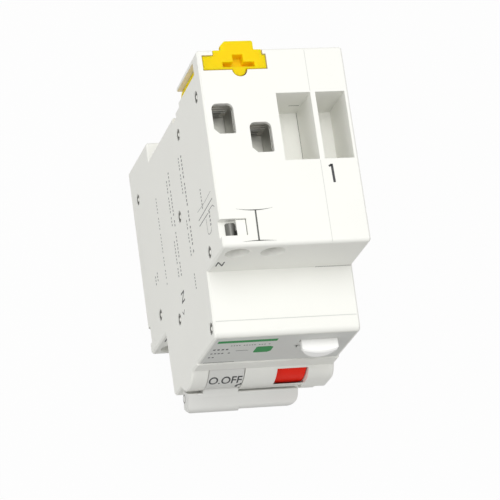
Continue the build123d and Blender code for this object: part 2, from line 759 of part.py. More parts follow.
def clip_slot(top):
    """T-shaped slot for a screwdriver in the upper end of the clip."""
    low = top - CLIP_SLOT_DEEP
    half = CLIP_SLOT_WIDTH / 2
    stem = CLIP_STEM_WIDTH / 2
    slot = block(CLIP_STEP_X - half, CLIP_STEP_X + half, -1.95, -0.65, low, top + 1)
    return slot + block(CLIP_STEP_X - stem, CLIP_STEP_X + stem, -3.85, -1.9, low, top + 1)


# ---------------------------------------------------------------- terminals
def terminal_cage(pole):
    """Box clamp that the screw draws forward on to the cable."""
    face = CLAMP_DEPTH[pole]
    x = POLE_X[pole]
    half = CAGE_INNER / 2
    rear = face - PLATE_GAP - CABLE_DEPTH
    nut_rear = face + PLATE_THICK + 0.5
    nut_front = nut_rear + CAGE_NUT
    frame = block(x - half - CAGE_WALL, x + half + CAGE_WALL, rear - CAGE_BAR, nut_front,
                  CAGE_LOW, CAGE_HIGH)
    frame -= block(x - half, x + half, rear, nut_rear, CAGE_LOW - 1, CAGE_HIGH + 1)
    frame -= bar_y(x, SCREW_Z, nut_rear - 1, nut_front + 1, SCREW_RADIUS + RUNNING_GAP)
    for z in (CAGE_HIGH - 1.4, CAGE_HIGH - 2.8, CAGE_HIGH - 4.2):
        frame -= block(x - half, x + half, rear - 0.25, rear + 0.1, z - 0.2, z + 0.2)
    return frame


def terminal_screw(pole):
    """Clamp screw with a cross recess in its head."""
    x = POLE_X[pole]
    start = CLAMP_DEPTH[pole] + PLATE_THICK + PLATE_GAP
    under = head_depth(pole)
    front = under + SCREW_HEAD_THICK
    screw = bar_y(x, SCREW_Z, start, under, SCREW_RADIUS)
    screw += bar_y(x, SCREW_Z, under, front, SCREW_HEAD_RADIUS)
    reach = SCREW_HEAD_RADIUS - 0.6
    half = SCREW_SLOT / 2
    for wide, tall in ((reach, half), (half, reach)):
        screw -= block(x - wide, x + wide, front - 1.4, front + 1, SCREW_Z - tall, SCREW_Z + tall)
    return screw


def strip(x, points, width=PLATE_WIDTH):
    """Bent metal strip of one width from its side outline."""
    return side_prism(points, x - width / 2, x + width / 2)


def neutral_top_strip():
    """Upper neutral conductor, from the clamp down to the fixed contact."""
    face = CLAMP_DEPTH["n"]
    back = fixed_tip_rear() - PLATE_THICK
    points = [
        (face, CAGE_HIGH - 0.7),
        (face, 9.0),
        (back, 9.0),
        (back, 0.5),
        (back + PLATE_THICK, 0.5),
        (back + PLATE_THICK, 9.0 + PLATE_THICK),
        (face + PLATE_THICK, 9.0 + PLATE_THICK),
        (face + PLATE_THICK, CAGE_HIGH - 0.7),
    ]
    return strip(POLE_X["n"], points)


def phase_top_strip():
    """Upper phase conductor, from the clamp to the top of the coil frame."""
    face = CLAMP_DEPTH["l"]
    low = COIL_HIGH
    points = [
        (face, CAGE_HIGH - 0.7),
        (face, low),
        (COIL_DEPTH + 2.5, low),
        (COIL_DEPTH + 2.5, low + PLATE_THICK),
        (face + PLATE_THICK, low + PLATE_THICK),
        (face + PLATE_THICK, CAGE_HIGH - 0.7),
    ]
    return strip(POLE_X["l"], points)


def phase_contact_strip():
    """Fixed phase contact bar under the coil frame."""
    back = fixed_tip_rear() - PLATE_THICK
    low = COIL_LOW - PLATE_THICK
    points = [
        (back, COIL_LOW),
        (back, 0.5),
        (back + PLATE_THICK, 0.5),
        (back + PLATE_THICK, low),
        (COIL_DEPTH + 2.5, low),
        (COIL_DEPTH + 2.5, COIL_LOW),
    ]
    bar = strip(POLE_X["l"], points)
    half = STRIKER_RADIUS + 0.3
    x = POLE_X["l"]
    return bar - block(x - half, x + half, COIL_DEPTH - half, COIL_DEPTH + half, low - 1, COIL_LOW + 1)


def neutral_bottom_strip():
    """Lower neutral conductor, from the clamp up to under the contact pivot."""
    face = CLAMP_DEPTH["n"]
    high = CARRIER_Z - CARRIER_RADIUS - 2.7
    points = [
        (face, -CAGE_HIGH + 0.7),
        (face, high),
        (CARRIER_DEPTH + 2, high),
        (CARRIER_DEPTH + 2, high - PLATE_THICK),
        (face + PLATE_THICK, high - PLATE_THICK),
        (face + PLATE_THICK, -CAGE_HIGH + 0.7),
    ]
    return strip(POLE_X["n"], points)


def phase_bottom_strip():
    """Lower phase conductor, from the clamp to the foot of the bimetal."""
    face = CLAMP_DEPTH["l"]
    high = -CAGE_LOW + 0.7 + PLATE_THICK
    front = BIMETAL_DEPTH + BIMETAL_THICK
    points = [
        (face, -CAGE_HIGH + 0.7),
        (face, high),
        (front, high),
        (front, high - PLATE_THICK),
        (face + PLATE_THICK, high - PLATE_THICK),
        (face + PLATE_THICK, -CAGE_HIGH + 0.7),
    ]
    return strip(POLE_X["l"], points)


# ---------------------------------------------------------------- toggle and flag
def handle_prism(points, left, right, radii):
    """Part of the handle from its (radius, height) outline, pointing straight forward."""
    moved = [(AXIS_DEPTH + radius, AXIS_Z + height) for radius, height in points]
    return side_prism(moved, left, right, radii)


def toggle():
    """Toggle: drum sector with its hub and crank, and the wide handle across the front."""
    drum = sector(DRUM_LEFT, DRUM_RIGHT, DRUM_RADIUS, -98, 46)
    inner = DRUM_RADIUS - DRUM_SHELL
    drum -= bar_x(DRUM_LEFT + 1, DRUM_RIGHT - 1, AXIS_DEPTH, AXIS_Z, inner)
    drum += bar_x(DRUM_LEFT, DRUM_RIGHT, AXIS_DEPTH, AXIS_Z, HUB_RADIUS)
    pin_depth, pin_z = polar(CRANK_RADIUS, crank_angle())
    arm = block(CRANK_X - CRANK_THICK / 2, CRANK_X + CRANK_THICK / 2, AXIS_DEPTH - 1.4,
                AXIS_DEPTH + 1.4, AXIS_Z, AXIS_Z + CRANK_RADIUS)
    crank = turn_about(arm, AXIS_DEPTH, AXIS_Z, crank_angle() - 90)
    crank += bar_x(CRANK_X - CRANK_THICK / 2, CRANK_X + CRANK_THICK / 2, pin_depth, pin_z, 1.4)
    drum += crank
    drum -= bar_x(CRANK_X - 2, CRANK_X + 2, pin_depth, pin_z, LINK_RADIUS + LINK_EYE_GAP)
    left_part = handle_prism(
        [(HANDLE_ROOT, -HANDLE_DOWN), (HANDLE_TIP, -HANDLE_DOWN + 0.45),
         (HANDLE_TIP, HANDLE_UP - 0.45), (HANDLE_ROOT, HANDLE_UP)],
        HANDLE_LEFT, HANDLE_STEP, [0.3, 1.8, 1.8, 0.3])
    left_plan = end_prism([(HANDLE_LEFT, AXIS_DEPTH), (HANDLE_STEP, AXIS_DEPTH),
                           (HANDLE_STEP, AXIS_DEPTH + HANDLE_TIP),
                           (HANDLE_LEFT, AXIS_DEPTH + HANDLE_TIP)],
                          AXIS_Z - 5, AXIS_Z + 5, [0, 0, 0, 1.0])
    left_part = left_part & left_plan
    right_part = handle_prism(
        [(HANDLE_ROOT, -HANDLE_DOWN_RIGHT), (HANDLE_TIP_RIGHT, -HANDLE_DOWN_RIGHT + 0.2),
         (HANDLE_TIP_RIGHT, HANDLE_UP - 0.45), (HANDLE_ROOT, HANDLE_UP)],
        HANDLE_STEP, HANDLE_RIGHT, [0.3, 1.2, 1.4, 0.3])
    front = AXIS_DEPTH + HANDLE_TIP_RIGHT
    root = AXIS_DEPTH + HANDLE_ROOT
    plan = end_prism([(HANDLE_STEP, root - 1), (HANDLE_RIGHT, root - 1), (HANDLE_RIGHT, front),
                      (HANDLE_STEP, front)], AXIS_Z - 5, AXIS_Z + 5, [0, 0, HANDLE_CORNER, 0])
    right_part = right_part & plan
    neck = handle_prism([(HUB_RADIUS + 5, -HANDLE_DOWN), (HANDLE_ROOT + 1, -HANDLE_DOWN),
                         (HANDLE_ROOT + 1, HANDLE_UP), (HUB_RADIUS + 5, HANDLE_UP)],
                        DRUM_LEFT, DRUM_RIGHT, 0)
    handle = turn_about(left_part + right_part + neck, AXIS_DEPTH, AXIS_Z, -HANDLE_REST)
    whole = drum + handle
    return whole - bar_x(DRUM_LEFT - 1, DRUM_RIGHT + 1, AXIS_DEPTH, AXIS_Z, PIN_RADIUS + PIN_GAP)


def toggle_pin():
    """Steel pin across the nose that carries the toggle and the flag."""
    return bar_x(LEFT + 0.8, RIGHT - 0.8, AXIS_DEPTH, AXIS_Z, PIN_RADIUS)


def toggle_spring():
    """Torsion spring round the toggle pin, as the sleeve that its coils fill."""
    left = DRUM_RIGHT + 0.4
    right = PARTITION_LEFT - 0.2
    coils = bar_x(left, right, AXIS_DEPTH, AXIS_Z, SPRING_OUTER)
    return coils - bar_x(left, right, AXIS_DEPTH, AXIS_Z, SPRING_INNER)


def flag_shell(low_angle, high_angle):
    """Curved face of the indicator between two angles."""
    shell = sector(FLAG_LEFT, FLAG_RIGHT, FLAG_RADIUS, low_angle, high_angle)
    return shell - bar_x(FLAG_LEFT, FLAG_RIGHT + 1, AXIS_DEPTH, AXIS_Z, FLAG_RADIUS - FLAG_SHELL)


def flag_carrier():
    """Hub and side plate of the contact position indicator."""
    rim = FLAG_RADIUS - FLAG_SHELL - 0.02
    carrier = sector(FLAG_LEFT, FLAG_LEFT + 1, rim, FLAG_LOW, FLAG_HIGH)
    carrier += bar_x(FLAG_LEFT, FLAG_RIGHT, AXIS_DEPTH, AXIS_Z, FLAG_HUB)
    return carrier - bar_x(FLAG_LEFT, FLAG_RIGHT, AXIS_DEPTH, AXIS_Z, PIN_RADIUS + PIN_GAP)


# ---------------------------------------------------------------- contacts
def lean_point(radius, lean):
    """A point about the contact pivot; lean 0 is straight up and positive leans forward."""
    return CARRIER_DEPTH + radius * sin(radians(lean)), CARRIER_Z + radius * cos(radians(lean))


def crank_angle():
    """Resting angle of the crank pin, so that it swings evenly past the top."""
    return 90 - TOGGLE_SWING / 2


def link_length():
    """Distance between the link's two pivots, set with the contacts closed."""
    crank = polar(CRANK_RADIUS, crank_angle() + TOGGLE_SWING)
    lever = lean_point(LEVER_RADIUS, LEVER_LEAN)
    return hypot(crank[0] - lever[0], crank[1] - lever[1])


def carrier_swing():
    """How far the contacts open, from the link's length with the toggle down."""
    crank = polar(CRANK_RADIUS, crank_angle())
    across = crank[0] - CARRIER_DEPTH
    up = crank[1] - CARRIER_Z
    reach = hypot(across, up)
    length = link_length()
    corner = acos((reach**2 + LEVER_RADIUS**2 - length**2) / (2 * reach * LEVER_RADIUS))
    return degrees(atan2(across, up) - corner) - LEVER_LEAN


def open_contacts(shape):
    """Turns a shape drawn with the contacts closed to where it rests with them open."""
    return turn_about(shape, CARRIER_DEPTH, CARRIER_Z, -carrier_swing())


def fixed_tip_rear():
    """Depth of the back of the fixed contact tips."""
    return CARRIER_DEPTH - BLADE_THICK / 2 - 2 * TIP_THICK - CONTACT_GAP


def tip_low():
    """Lower edge of the contact tips."""
    return CARRIER_Z + BLADE_TOP - TIP_HEIGHT - 0.4


def fixed_tips():
    """Silver tips on the two fixed contacts."""
    rear = fixed_tip_rear()
    low = tip_low()
    half = BLADE_WIDTH / 2
    return [block(x - half, x + half, rear, rear + TIP_THICK, low, low + TIP_HEIGHT)
            for x in POLE_X.values()]


def moving_tips():
    """Silver tips on the two moving contacts."""
    front = CARRIER_DEPTH - BLADE_THICK / 2
    low = tip_low()
    half = BLADE_WIDTH / 2
    closed = [block(x - half, x + half, front - TIP_THICK, front, low, low + TIP_HEIGHT)
              for x in POLE_X.values()]
    return [open_contacts(tip) for tip in closed]


def moving_contact(pole):
    """Copper blade of one pole."""
    x = POLE_X[pole]
    half = BLADE_THICK / 2
    blade = block(x - BLADE_WIDTH / 2, x + BLADE_WIDTH / 2, CARRIER_DEPTH - half,
                  CARRIER_DEPTH + half, CARRIER_Z + BLADE_BOTTOM, CARRIER_Z + BLADE_TOP)
    return open_contacts(blade)


def contact_carrier():
    """Insulating lever that carries both blades on one shaft."""
    left = INNER_LEFT + CARRIER_BOSS_HIGH + 0.2
    right = PARTITION_LEFT - 0.3
    body = bar_x(left, right, CARRIER_DEPTH, CARRIER_Z, CARRIER_RADIUS)
    front = CARRIER_DEPTH + BLADE_THICK / 2
    for x in POLE_X.values():
        half = BLADE_WIDTH / 2 + 0.3
        body += block(x - half, x + half, front, front + CARRIER_ARM, CARRIER_Z,
                      CARRIER_Z + CARRIER_REACH)
    lug_left = CRANK_X - CRANK_THICK / 2
    lug_right = CRANK_X + CRANK_THICK / 2
    lug = block(lug_left, lug_right, CARRIER_DEPTH - 1.5, CARRIER_DEPTH + 1.5, CARRIER_Z,
                CARRIER_Z + LEVER_RADIUS)
    lug += bar_x(lug_left, lug_right, CARRIER_DEPTH, CARRIER_Z + LEVER_RADIUS, 1.7)
    lug -= bar_x(lug_left, lug_right, CARRIER_DEPTH, CARRIER_Z + LEVER_RADIUS,
                 LINK_RADIUS + LINK_SLOT_GAP)
    body += turn_about(lug, CARRIER_DEPTH, CARRIER_Z, LEVER_LEAN * -1)
    body = open_contacts(body)
    return body - bar_x(left - 1, right + 1, CARRIER_DEPTH, CARRIER_Z, PIN_RADIUS + PIN_GAP)


def carrier_pin():
    """Steel pin of the contact carrier, between the left wall and the partition."""
    return bar_x(INNER_LEFT, PARTITION_LEFT + PARTITION_THICK, CARRIER_DEPTH, CARRIER_Z, PIN_RADIUS)


def link_wire():
    """Steel link with a pin at each end, from the toggle's crank to the contact carrier."""
    crank = polar(CRANK_RADIUS, crank_angle())
    lever = lean_point(LEVER_RADIUS, LEVER_LEAN + carrier_swing())
    right = CRANK_X + CRANK_THICK / 2 + LINK_OVERHANG
    left_face = LINK_X - LINK_RADIUS
    right_face = LINK_X + LINK_RADIUS
    rise = crank[1] - lever[1]
    lean = degrees(atan2(crank[0] - lever[0], rise))
    upright = block(left_face, right_face, lever[0] - LINK_RADIUS, lever[0] + LINK_RADIUS,
                    lever[1] - LINK_RADIUS, lever[1] + link_length() + LINK_RADIUS)
    wire = turn_about(upright, *lever, -lean)
    wire += bar_x(right_face - 0.1, right, *crank, LINK_RADIUS)
    return wire + bar_x(right_face - 0.1, right, *lever, LINK_RADIUS)


# ---------------------------------------------------------------- tripping
def coil_yoke():
    """Steel frame of the magnetic trip with its fixed pole piece."""
    x = POLE_X["l"]
    rear = COIL_DEPTH - COIL_RADIUS - 1.0
    front = SHOULDER_DEPTH - WALL - 0.3
    low = block(x - 2.8, x + 2.8, rear, front, COIL_LOW, COIL_LOW + 1)
    high = block(x - 2.8, x + 2.8, rear, front, COIL_HIGH - 1, COIL_HIGH)
    back = block(x - 2.8, x + 2.8, rear - 1, rear, COIL_LOW, COIL_HIGH)
    yoke = low + high + back + bar_z(x, COIL_DEPTH, PLUNGER_TOP + 2, COIL_HIGH - 1, PLUNGER_RADIUS)
    return yoke - bar_z(x, COIL_DEPTH, COIL_LOW - 1, COIL_LOW + 2, STRIKER_RADIUS + 0.05)


def coil_winding():
    """Heavy copper winding of the magnetic trip."""
    x = POLE_X["l"]
    coil = bar_z(x, COIL_DEPTH, COIL_LOW + 1.3, COIL_HIGH - 1.3, COIL_RADIUS)
    return coil - bar_z(x, COIL_DEPTH, COIL_LOW, COIL_HIGH, COIL_BORE)


def coil_plunger():
    """Plunger and striker pin of the magnetic trip."""
    x = POLE_X["l"]
    low = COIL_LOW + 1 + PLUNGER_TRAVEL + 0.3
    body = bar_z(x, COIL_DEPTH, low, PLUNGER_TOP, PLUNGER_RADIUS)
    return body + bar_z(x, COIL_DEPTH, LOBE_TOP + STRIKE_GAP, low, STRIKER_RADIUS)


def trip_bar():
    """Pivoted bar that the plunger, the bimetal and the relay pin all act on."""
    bar = bar_x(TRIP_LEFT, TRIP_RIGHT, TRIP_DEPTH, TRIP_Z, TRIP_RADIUS)
    for x in (POLE_X["l"], RELAY_PIN_X):
        bar += block(x - 1.5, x + 1.5, TRIP_DEPTH - LOBE_REACH, TRIP_DEPTH, LOBE_TOP - 1.2, LOBE_TOP)
    x = POLE_X["l"]
    low = BIMETAL_TOP - 2
    return bar + block(x - 1.5, x + 1.5, TRIP_DEPTH - 0.3, TRIP_DEPTH + 0.7, low, TRIP_Z)


def bimetal():
    """Thermal strip that stands on the lower phase conductor."""
    x = POLE_X["l"]
    low = -CAGE_LOW + 0.7 + PLATE_THICK
    half = BIMETAL_WIDTH / 2
    front = BIMETAL_DEPTH + BIMETAL_THICK
    return block(x - half, x + half, BIMETAL_DEPTH, front, low, BIMETAL_TOP)


def bimetal_bracket():
    """Clamp block behind the foot of the bimetal."""
    x = POLE_X["l"]
    low = -CAGE_LOW + 0.7 + PLATE_THICK
    return block(x - 2, x + 2, BIMETAL_DEPTH - 1.3, BIMETAL_DEPTH, low, low + 1.8)


def braid():
    """Flexible copper lead from the contact pivot to the bimetal."""
    x = POLE_X["l"]
    points = [
        Vector(x, -(CARRIER_DEPTH + 1.5), CARRIER_Z - CARRIER_RADIUS - 1.4),
        Vector(x, -(CARRIER_DEPTH + 4.5), CARRIER_Z - CARRIER_RADIUS - 4.5),
        Vector(x, -BIMETAL_DEPTH, CARRIER_Z - CARRIER_RADIUS - 4.5),
    ]
    path = FilletPolyline(*points, radius=3.0)
    section = Plane(path @ 0, x_dir=(1, 0, 0), z_dir=path % 0) * Rectangle(2.4, 0.9)
    return sweep(section, path=path)


def chute_spacing():
    """Distance from one arc plate to the next."""
    return (CHUTE_HEIGHT - CHUTE_PLATE) / (CHUTE_PLATES - 1)


def arc_plates():
    """Stack of steel plates with a notch towards the contacts."""
    x = POLE_X["l"]
    stack = []
    outline = [
        (x - 2.6, CHUTE_REAR),
        (x + 2.6, CHUTE_REAR),
        (x + 2.6, CHUTE_FRONT),
        (x + 1.2, CHUTE_FRONT),
        (x, CHUTE_FRONT - 5),
        (x - 1.2, CHUTE_FRONT),
        (x - 2.6, CHUTE_FRONT),
    ]
    for i in range(CHUTE_PLATES):
        low = -CHUTE_HEIGHT / 2 + i * chute_spacing()
        stack.append(end_prism(outline, low, low + CHUTE_PLATE))
    return stack


def arc_frame():
    """Two fibre cheeks that hold the arc plates, with slots for them."""
    x = POLE_X["l"]
    half = CHUTE_HEIGHT / 2 + 0.6
    cheeks = []
    for side in (-1, 1):
        inner = x + side * 2.6
        outer = x + side * 3.1
        left, right = sorted([inner, outer])
        cheeks.append(block(left, right, CHUTE_REAR - 0.5, CHUTE_FRONT - 1, -half, half))
    return cheeks


# ---------------------------------------------------------------- residual module
def toroid_core():
    """Ring core of the residual current transformer."""
    right = TOROID_LEFT + TOROID_THICK
    ring = bar_x(TOROID_LEFT, right, TOROID_DEPTH, TOROID_Z, TOROID_RADIUS)
    return ring - bar_x(TOROID_LEFT, right, TOROID_DEPTH, TOROID_Z, TOROID_BORE)


def toroid_winding():
    """Secondary winding, a sleeve round one stretch of the ring."""
    left = TOROID_LEFT - WINDING_PROUD
    right = TOROID_LEFT + TOROID_THICK + WINDING_PROUD
    sleeve = bar_x(left, right, TOROID_DEPTH, TOROID_Z, TOROID_RADIUS + WINDING_PROUD)
    sleeve -= bar_x(left, right, TOROID_DEPTH, TOROID_Z, TOROID_BORE - WINDING_PROUD)
    keep = side_prism([(TOROID_DEPTH, TOROID_Z), (TOROID_DEPTH - 14, TOROID_Z + 8),
                       (TOROID_DEPTH - 14, TOROID_Z - 8)], left, right)
    sleeve = sleeve & keep
    return sleeve - toroid_core()


def pole_leads():
    """The two main conductors that pass through the transformer ring."""
    left = PARTITION_LEFT - 1.5
    right = BOARD_LEFT - 0.6
    return [bar_x(left, right, TOROID_DEPTH, TOROID_Z + side * LEAD_SPACING / 2, LEAD_RADIUS)
            for side in (-1, 1)]


def trip_relay():
    """Sealed case of the residual trip relay."""
    case = block(RELAY_LEFT, RELAY_LEFT + RELAY_WIDTH, RELAY_REAR, RELAY_FRONT, RELAY_LOW, RELAY_HIGH)
    bore = RELAY_PIN_RADIUS + RUNNING_GAP
    return case - bar_z(RELAY_PIN_X, RELAY_PIN_DEPTH, RELAY_LOW - 1, RELAY_LOW + 6, bore)


def relay_pin():
    """Striker pin of the residual trip relay."""
    low = LOBE_TOP + STRIKE_GAP
    return bar_z(RELAY_PIN_X, RELAY_PIN_DEPTH, low, RELAY_LOW + 4, RELAY_PIN_RADIUS)


def circuit_board():
    """Circuit board along the right side wall."""
    right = BOARD_LEFT + BOARD_THICK
    board = block(BOARD_LEFT, right, BOARD_REAR, BOARD_FRONT, BOARD_LOW, BOARD_HIGH)
    depth, z = RIVET_PLACES[3]
    return board - bar_x(BOARD_LEFT, right, depth, z, RIVET_RADIUS + 0.4)


def board_components():
    """Rectifier, varistor and capacitor on the board."""
    rectifier = block(BOARD_LEFT - 2.2, BOARD_LEFT, BOARD_REAR + 3, BOARD_REAR + 9,
                      BOARD_HIGH - 14, BOARD_HIGH - 8)
    varistor = bar_x(BOARD_LEFT - 2.4, BOARD_LEFT, BOARD_FRONT - 9, BOARD_HIGH - 6, VARISTOR_RADIUS)
    capacitor = block(BOARD_LEFT - 3.0, BOARD_LEFT, BOARD_FRONT - 19.5, BOARD_FRONT - 14.5,
                      BOARD_HIGH - 8.5, BOARD_HIGH - 2.5)
    return [rectifier, varistor, capacitor]


def test_resistor():
    """Resistor of the test circuit."""
    return bar_z(BOARD_LEFT - 1.3, BOARD_FRONT - 8, BOARD_LOW + 3, BOARD_LOW + 12, 1.3)


# ---------------------------------------------------------------- test button
def test_button():
    """Test button: bowed cap, retaining flange and stem."""
    rear = INNER_FRONT - 0.4
    front = LABEL_DEPTH + BUTTON_PROUD
    bow = ((BUTTON_WIDTH / 2) ** 2 + BUTTON_BOW**2) / (2 * BUTTON_BOW)
    cap = button_prism(0, rear - 0.5, front)
    cap &= bar_z(BUTTON_X, front - bow, BUTTON_BOTTOM - 1, BUTTON_TOP + 1, bow)
    rim = cap.faces().sort_by(Axis.Y)[0]
    cap = chamfer(rim.edges(), 0.35)
    half = BUTTON_WIDTH / 2 + BUTTON_FLANGE
    cap += block(BUTTON_X - half, BUTTON_X + half, rear - 1.6, rear,
                 BUTTON_BOTTOM - BUTTON_FLANGE, BUTTON_TOP + BUTTON_FLANGE)
    return cap + bar_y(BUTTON_X, STEM_Z, STEM_END, rear - 1, STEM_RADIUS)


def test_button_spring():
    """Return spring of the test button, as the sleeve that its coils fill."""
    front = INNER_FRONT - 2.0
    sleeve = bar_y(BUTTON_X, STEM_Z, SPRING_SEAT, front, STEM_RADIUS + 0.9)
    return sleeve - bar_y(BUTTON_X, STEM_Z, SPRING_SEAT, front, STEM_RADIUS + 0.25)


def test_contact():
    """Leaf contact of the test circuit, from the board to behind the button stem."""
    front = STEM_END - BUTTON_TRAVEL - 0.3
    rear = front - TEST_CONTACT_THICK
    right = BOARD_LEFT - 0.1
    leaf = block(BUTTON_X - 1.8, right, rear, front, STEM_Z - 2, STEM_Z + 2)
    return leaf + block(right - 0.5, right, BOARD_FRONT - 3, front, STEM_Z - 2, STEM_Z + 2)


# ---------------------------------------------------------------- writing
def build_nodes():
    """Every node of the device by name."""
    nodes = {
        "base_housing": base_housing(),
        "right_cover": right_cover(),
        "centre_partition": centre_partition(),
        "rivets": rivets(),
        "probe_contacts": probe_contact(),
        "din_clip": din_clip(),
        "toggle": toggle(),
        "toggle_pin": toggle_pin(),
        "toggle_spring": toggle_spring(),
        "flag_carrier": flag_carrier(),
        "flag_red": flag_shell(FLAG_SPLIT, FLAG_HIGH),
        "flag_green": flag_shell(FLAG_LOW, FLAG_SPLIT),
        "contact_carrier": contact_carrier(),
        "carrier_pin": carrier_pin(),
        "moving_contact_l": moving_contact("l"),
        "moving_contact_n": moving_contact("n"),
        "moving_tips": moving_tips(),
        "fixed_tips": fixed_tips(),
        "link_wire": link_wire(),
        "coil_yoke": coil_yoke(),
        "coil_winding": coil_winding(),
        "coil_plunger": coil_plunger(),
        "trip_bar": trip_bar(),
        "bimetal": bimetal(),
        "bimetal_bracket": bimetal_bracket(),
        "braid": braid(),
        "arc_plates": arc_plates(),
        "arc_frame": arc_frame(),
        "neutral_top_strip": neutral_top_strip(),
        "neutral_bottom_strip": neutral_bottom_strip(),
        "phase_top_strip": phase_top_strip(),
        "phase_contact_strip": phase_contact_strip(),
        "phase_bottom_strip": phase_bottom_strip(),
        "toroid_core": toroid_core(),
        "toroid_winding": toroid_winding(),
        "pole_leads": pole_leads(),
        "trip_relay": trip_relay(),
        "relay_pin": relay_pin(),
        "circuit_board": circuit_board(),
        "board_components": board_components(),
        "test_resistor": test_resistor(),
        "test_button": test_button(),
        "test_button_spring": test_button_spring(),
        "test_contact": test_contact(),
    }
    for pole in POLE_X:
        nodes[f"terminal_cage_{pole}_top"] = terminal_cage(pole)
        nodes[f"terminal_cage_{pole}_bottom"] = mirror_z(terminal_cage(pole))
        nodes[f"terminal_screw_{pole}_top"] = terminal_screw(pole)
        nodes[f"terminal_screw_{pole}_bottom"] = mirror_z(terminal_screw(pole))
    return nodes


def write_nodes(nodes):
    """Writes one STEP file for each node."""
    os.makedirs("parts", exist_ok=True)
    for name, shape in nodes.items():
        solids = shape if isinstance(shape, list) else [shape]
        bodies = [solid for item in solids for solid in item.solids()]
        export_step(Compound(children=bodies), f"parts/{name}.step")


if __name__ == "__main__":
    write_nodes(build_nodes())
    print("contact swing", round(carrier_swing(), 3), "link length", round(link_length(), 3))
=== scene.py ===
"""Looks of a two-module residual current breaker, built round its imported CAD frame.

Row frame in metres: X to the right, +Y to the rail behind, +Z up. "Depth" is the distance in
front of the rail seat, so a depth d lies at y = -d. Sizes below are in millimetres.
"""

import json
import math
import random

import bpy
import bmesh
from mathutils import Matrix, Vector


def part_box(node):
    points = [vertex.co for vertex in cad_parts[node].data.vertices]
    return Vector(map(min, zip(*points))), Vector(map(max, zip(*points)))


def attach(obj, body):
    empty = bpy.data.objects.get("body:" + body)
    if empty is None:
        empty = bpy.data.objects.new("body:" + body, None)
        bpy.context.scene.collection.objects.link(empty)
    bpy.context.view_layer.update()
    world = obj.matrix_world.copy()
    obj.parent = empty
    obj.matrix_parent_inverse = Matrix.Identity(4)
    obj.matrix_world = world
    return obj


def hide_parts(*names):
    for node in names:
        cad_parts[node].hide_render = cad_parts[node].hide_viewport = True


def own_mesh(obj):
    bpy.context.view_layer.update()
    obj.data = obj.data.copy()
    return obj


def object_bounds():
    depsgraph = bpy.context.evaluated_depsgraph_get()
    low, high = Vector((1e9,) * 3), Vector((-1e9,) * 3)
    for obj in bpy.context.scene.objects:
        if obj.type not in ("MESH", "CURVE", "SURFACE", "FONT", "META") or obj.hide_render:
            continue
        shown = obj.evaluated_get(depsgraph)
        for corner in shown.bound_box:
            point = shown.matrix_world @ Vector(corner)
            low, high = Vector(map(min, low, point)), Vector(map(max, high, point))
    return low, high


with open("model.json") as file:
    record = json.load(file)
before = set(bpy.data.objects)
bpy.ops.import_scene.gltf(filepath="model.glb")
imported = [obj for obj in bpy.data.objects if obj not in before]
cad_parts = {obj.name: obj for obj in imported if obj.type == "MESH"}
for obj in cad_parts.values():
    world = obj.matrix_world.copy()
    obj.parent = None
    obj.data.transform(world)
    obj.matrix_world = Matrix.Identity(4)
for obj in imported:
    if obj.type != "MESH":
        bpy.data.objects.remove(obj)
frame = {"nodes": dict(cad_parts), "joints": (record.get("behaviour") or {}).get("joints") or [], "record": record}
cad_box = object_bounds()

MM = 0.001
NODES = frame["nodes"]
JOINTS = {joint["name"]: joint for joint in frame["joints"]}
POLES = ("n", "l")
ENDS = ("top", "bottom")
QUARTER = math.pi / 2

# ---------------------------------------------------------------- sizes in millimetres
SIDE_X = 18.0
END_Z = 39.8
SHOULDER_DEPTH = 44.6
LABEL_DEPTH = 60.8
NOSE_DEPTH = 61.2
NOSE_TOP = 22.9
NOSE_TOP_FRONT = 22.2
PARTING_DEPTH = 56.8
POCKET_REAR = 6.45
POCKET_DEEP = 13.2
POCKET_RIGHT = 8.48
DRUM_RADIUS = 9.7
DRUM_MIDDLE = -9.25
BUTTON_X = 9.0
RIVET_RADIUS = 1.45
RIVET_END = 17.98
RIVET_CORE = 0.64
SCREW_RADIUS = 1.9
SCREW_HEAD_RADIUS = 2.2
SCREW_HEAD_THICK = 2.4
SCREW_PITCH = 0.8
SHEET = 0.5
CAGE_BAR = 1.2
INK_THICK = 0.02
CAP_SHARE = 0.69  # height of a capital letter, as a share of the font's size
WORD_HEIGHT = 2.7  # letters of OFF and ON
SHELL_JOINT_X = 8.5
CAGE_EDGE = 0.24  # radius of a cage's bent edges
MERGE_GAP = 0.002  # corners closer than this are one corner
EDGE_STEPS = 2  # faces across a rounded edge

# Radius that the mould, the die or the saw leaves on the edges of each piece.
EASED_EDGES = {
    "base_housing": 0.22, "right_cover": 0.22, "din_clip": 0.25, "toggle": 0.25,
    "test_button": 0.35, "centre_partition": 0.12, "contact_carrier": 0.15,
    "flag_carrier": 0.12, "trip_bar": 0.15, "trip_relay": 0.3, "relay_pin": 0.1,
    "coil_plunger": 0.15, "coil_yoke": 0.15, "bimetal_bracket": 0.12, "test_contact": 0.08,
    "arc_frame": 0.1, "neutral_top_strip": 0.15, "neutral_bottom_strip": 0.15,
    "phase_top_strip": 0.15, "phase_contact_strip": 0.15, "phase_bottom_strip": 0.15,
    "moving_contact_n": 0.1, "moving_contact_l": 0.1, "board_components": 0.3,
    "test_resistor": 0.35, "toggle_pin": 0.2, "carrier_pin": 0.2, "fixed_tips": 0.12,
    "moving_tips": 0.12, "circuit_board": 0.08, "bimetal": 0.06, "toroid_core": 0.3,
    "arc_plates": 0.06,
}


# ---------------------------------------------------------------- places and small tools
def at(x, depth, z):
    """A point of the row frame in metres, from millimetres."""
    return Vector((x, -depth, z)) * MM


def face_frame(origin, right, up):
    """Stands a flat drawing on a face: its own X runs to the right there and its Y runs up."""
    right = Vector(right).normalized()
    up = Vector(up).normalized()
    turn = Matrix((right, up, right.cross(up))).transposed().to_4x4()
    return Matrix.Translation(origin) @ turn @ Matrix.Scale(MM, 4)


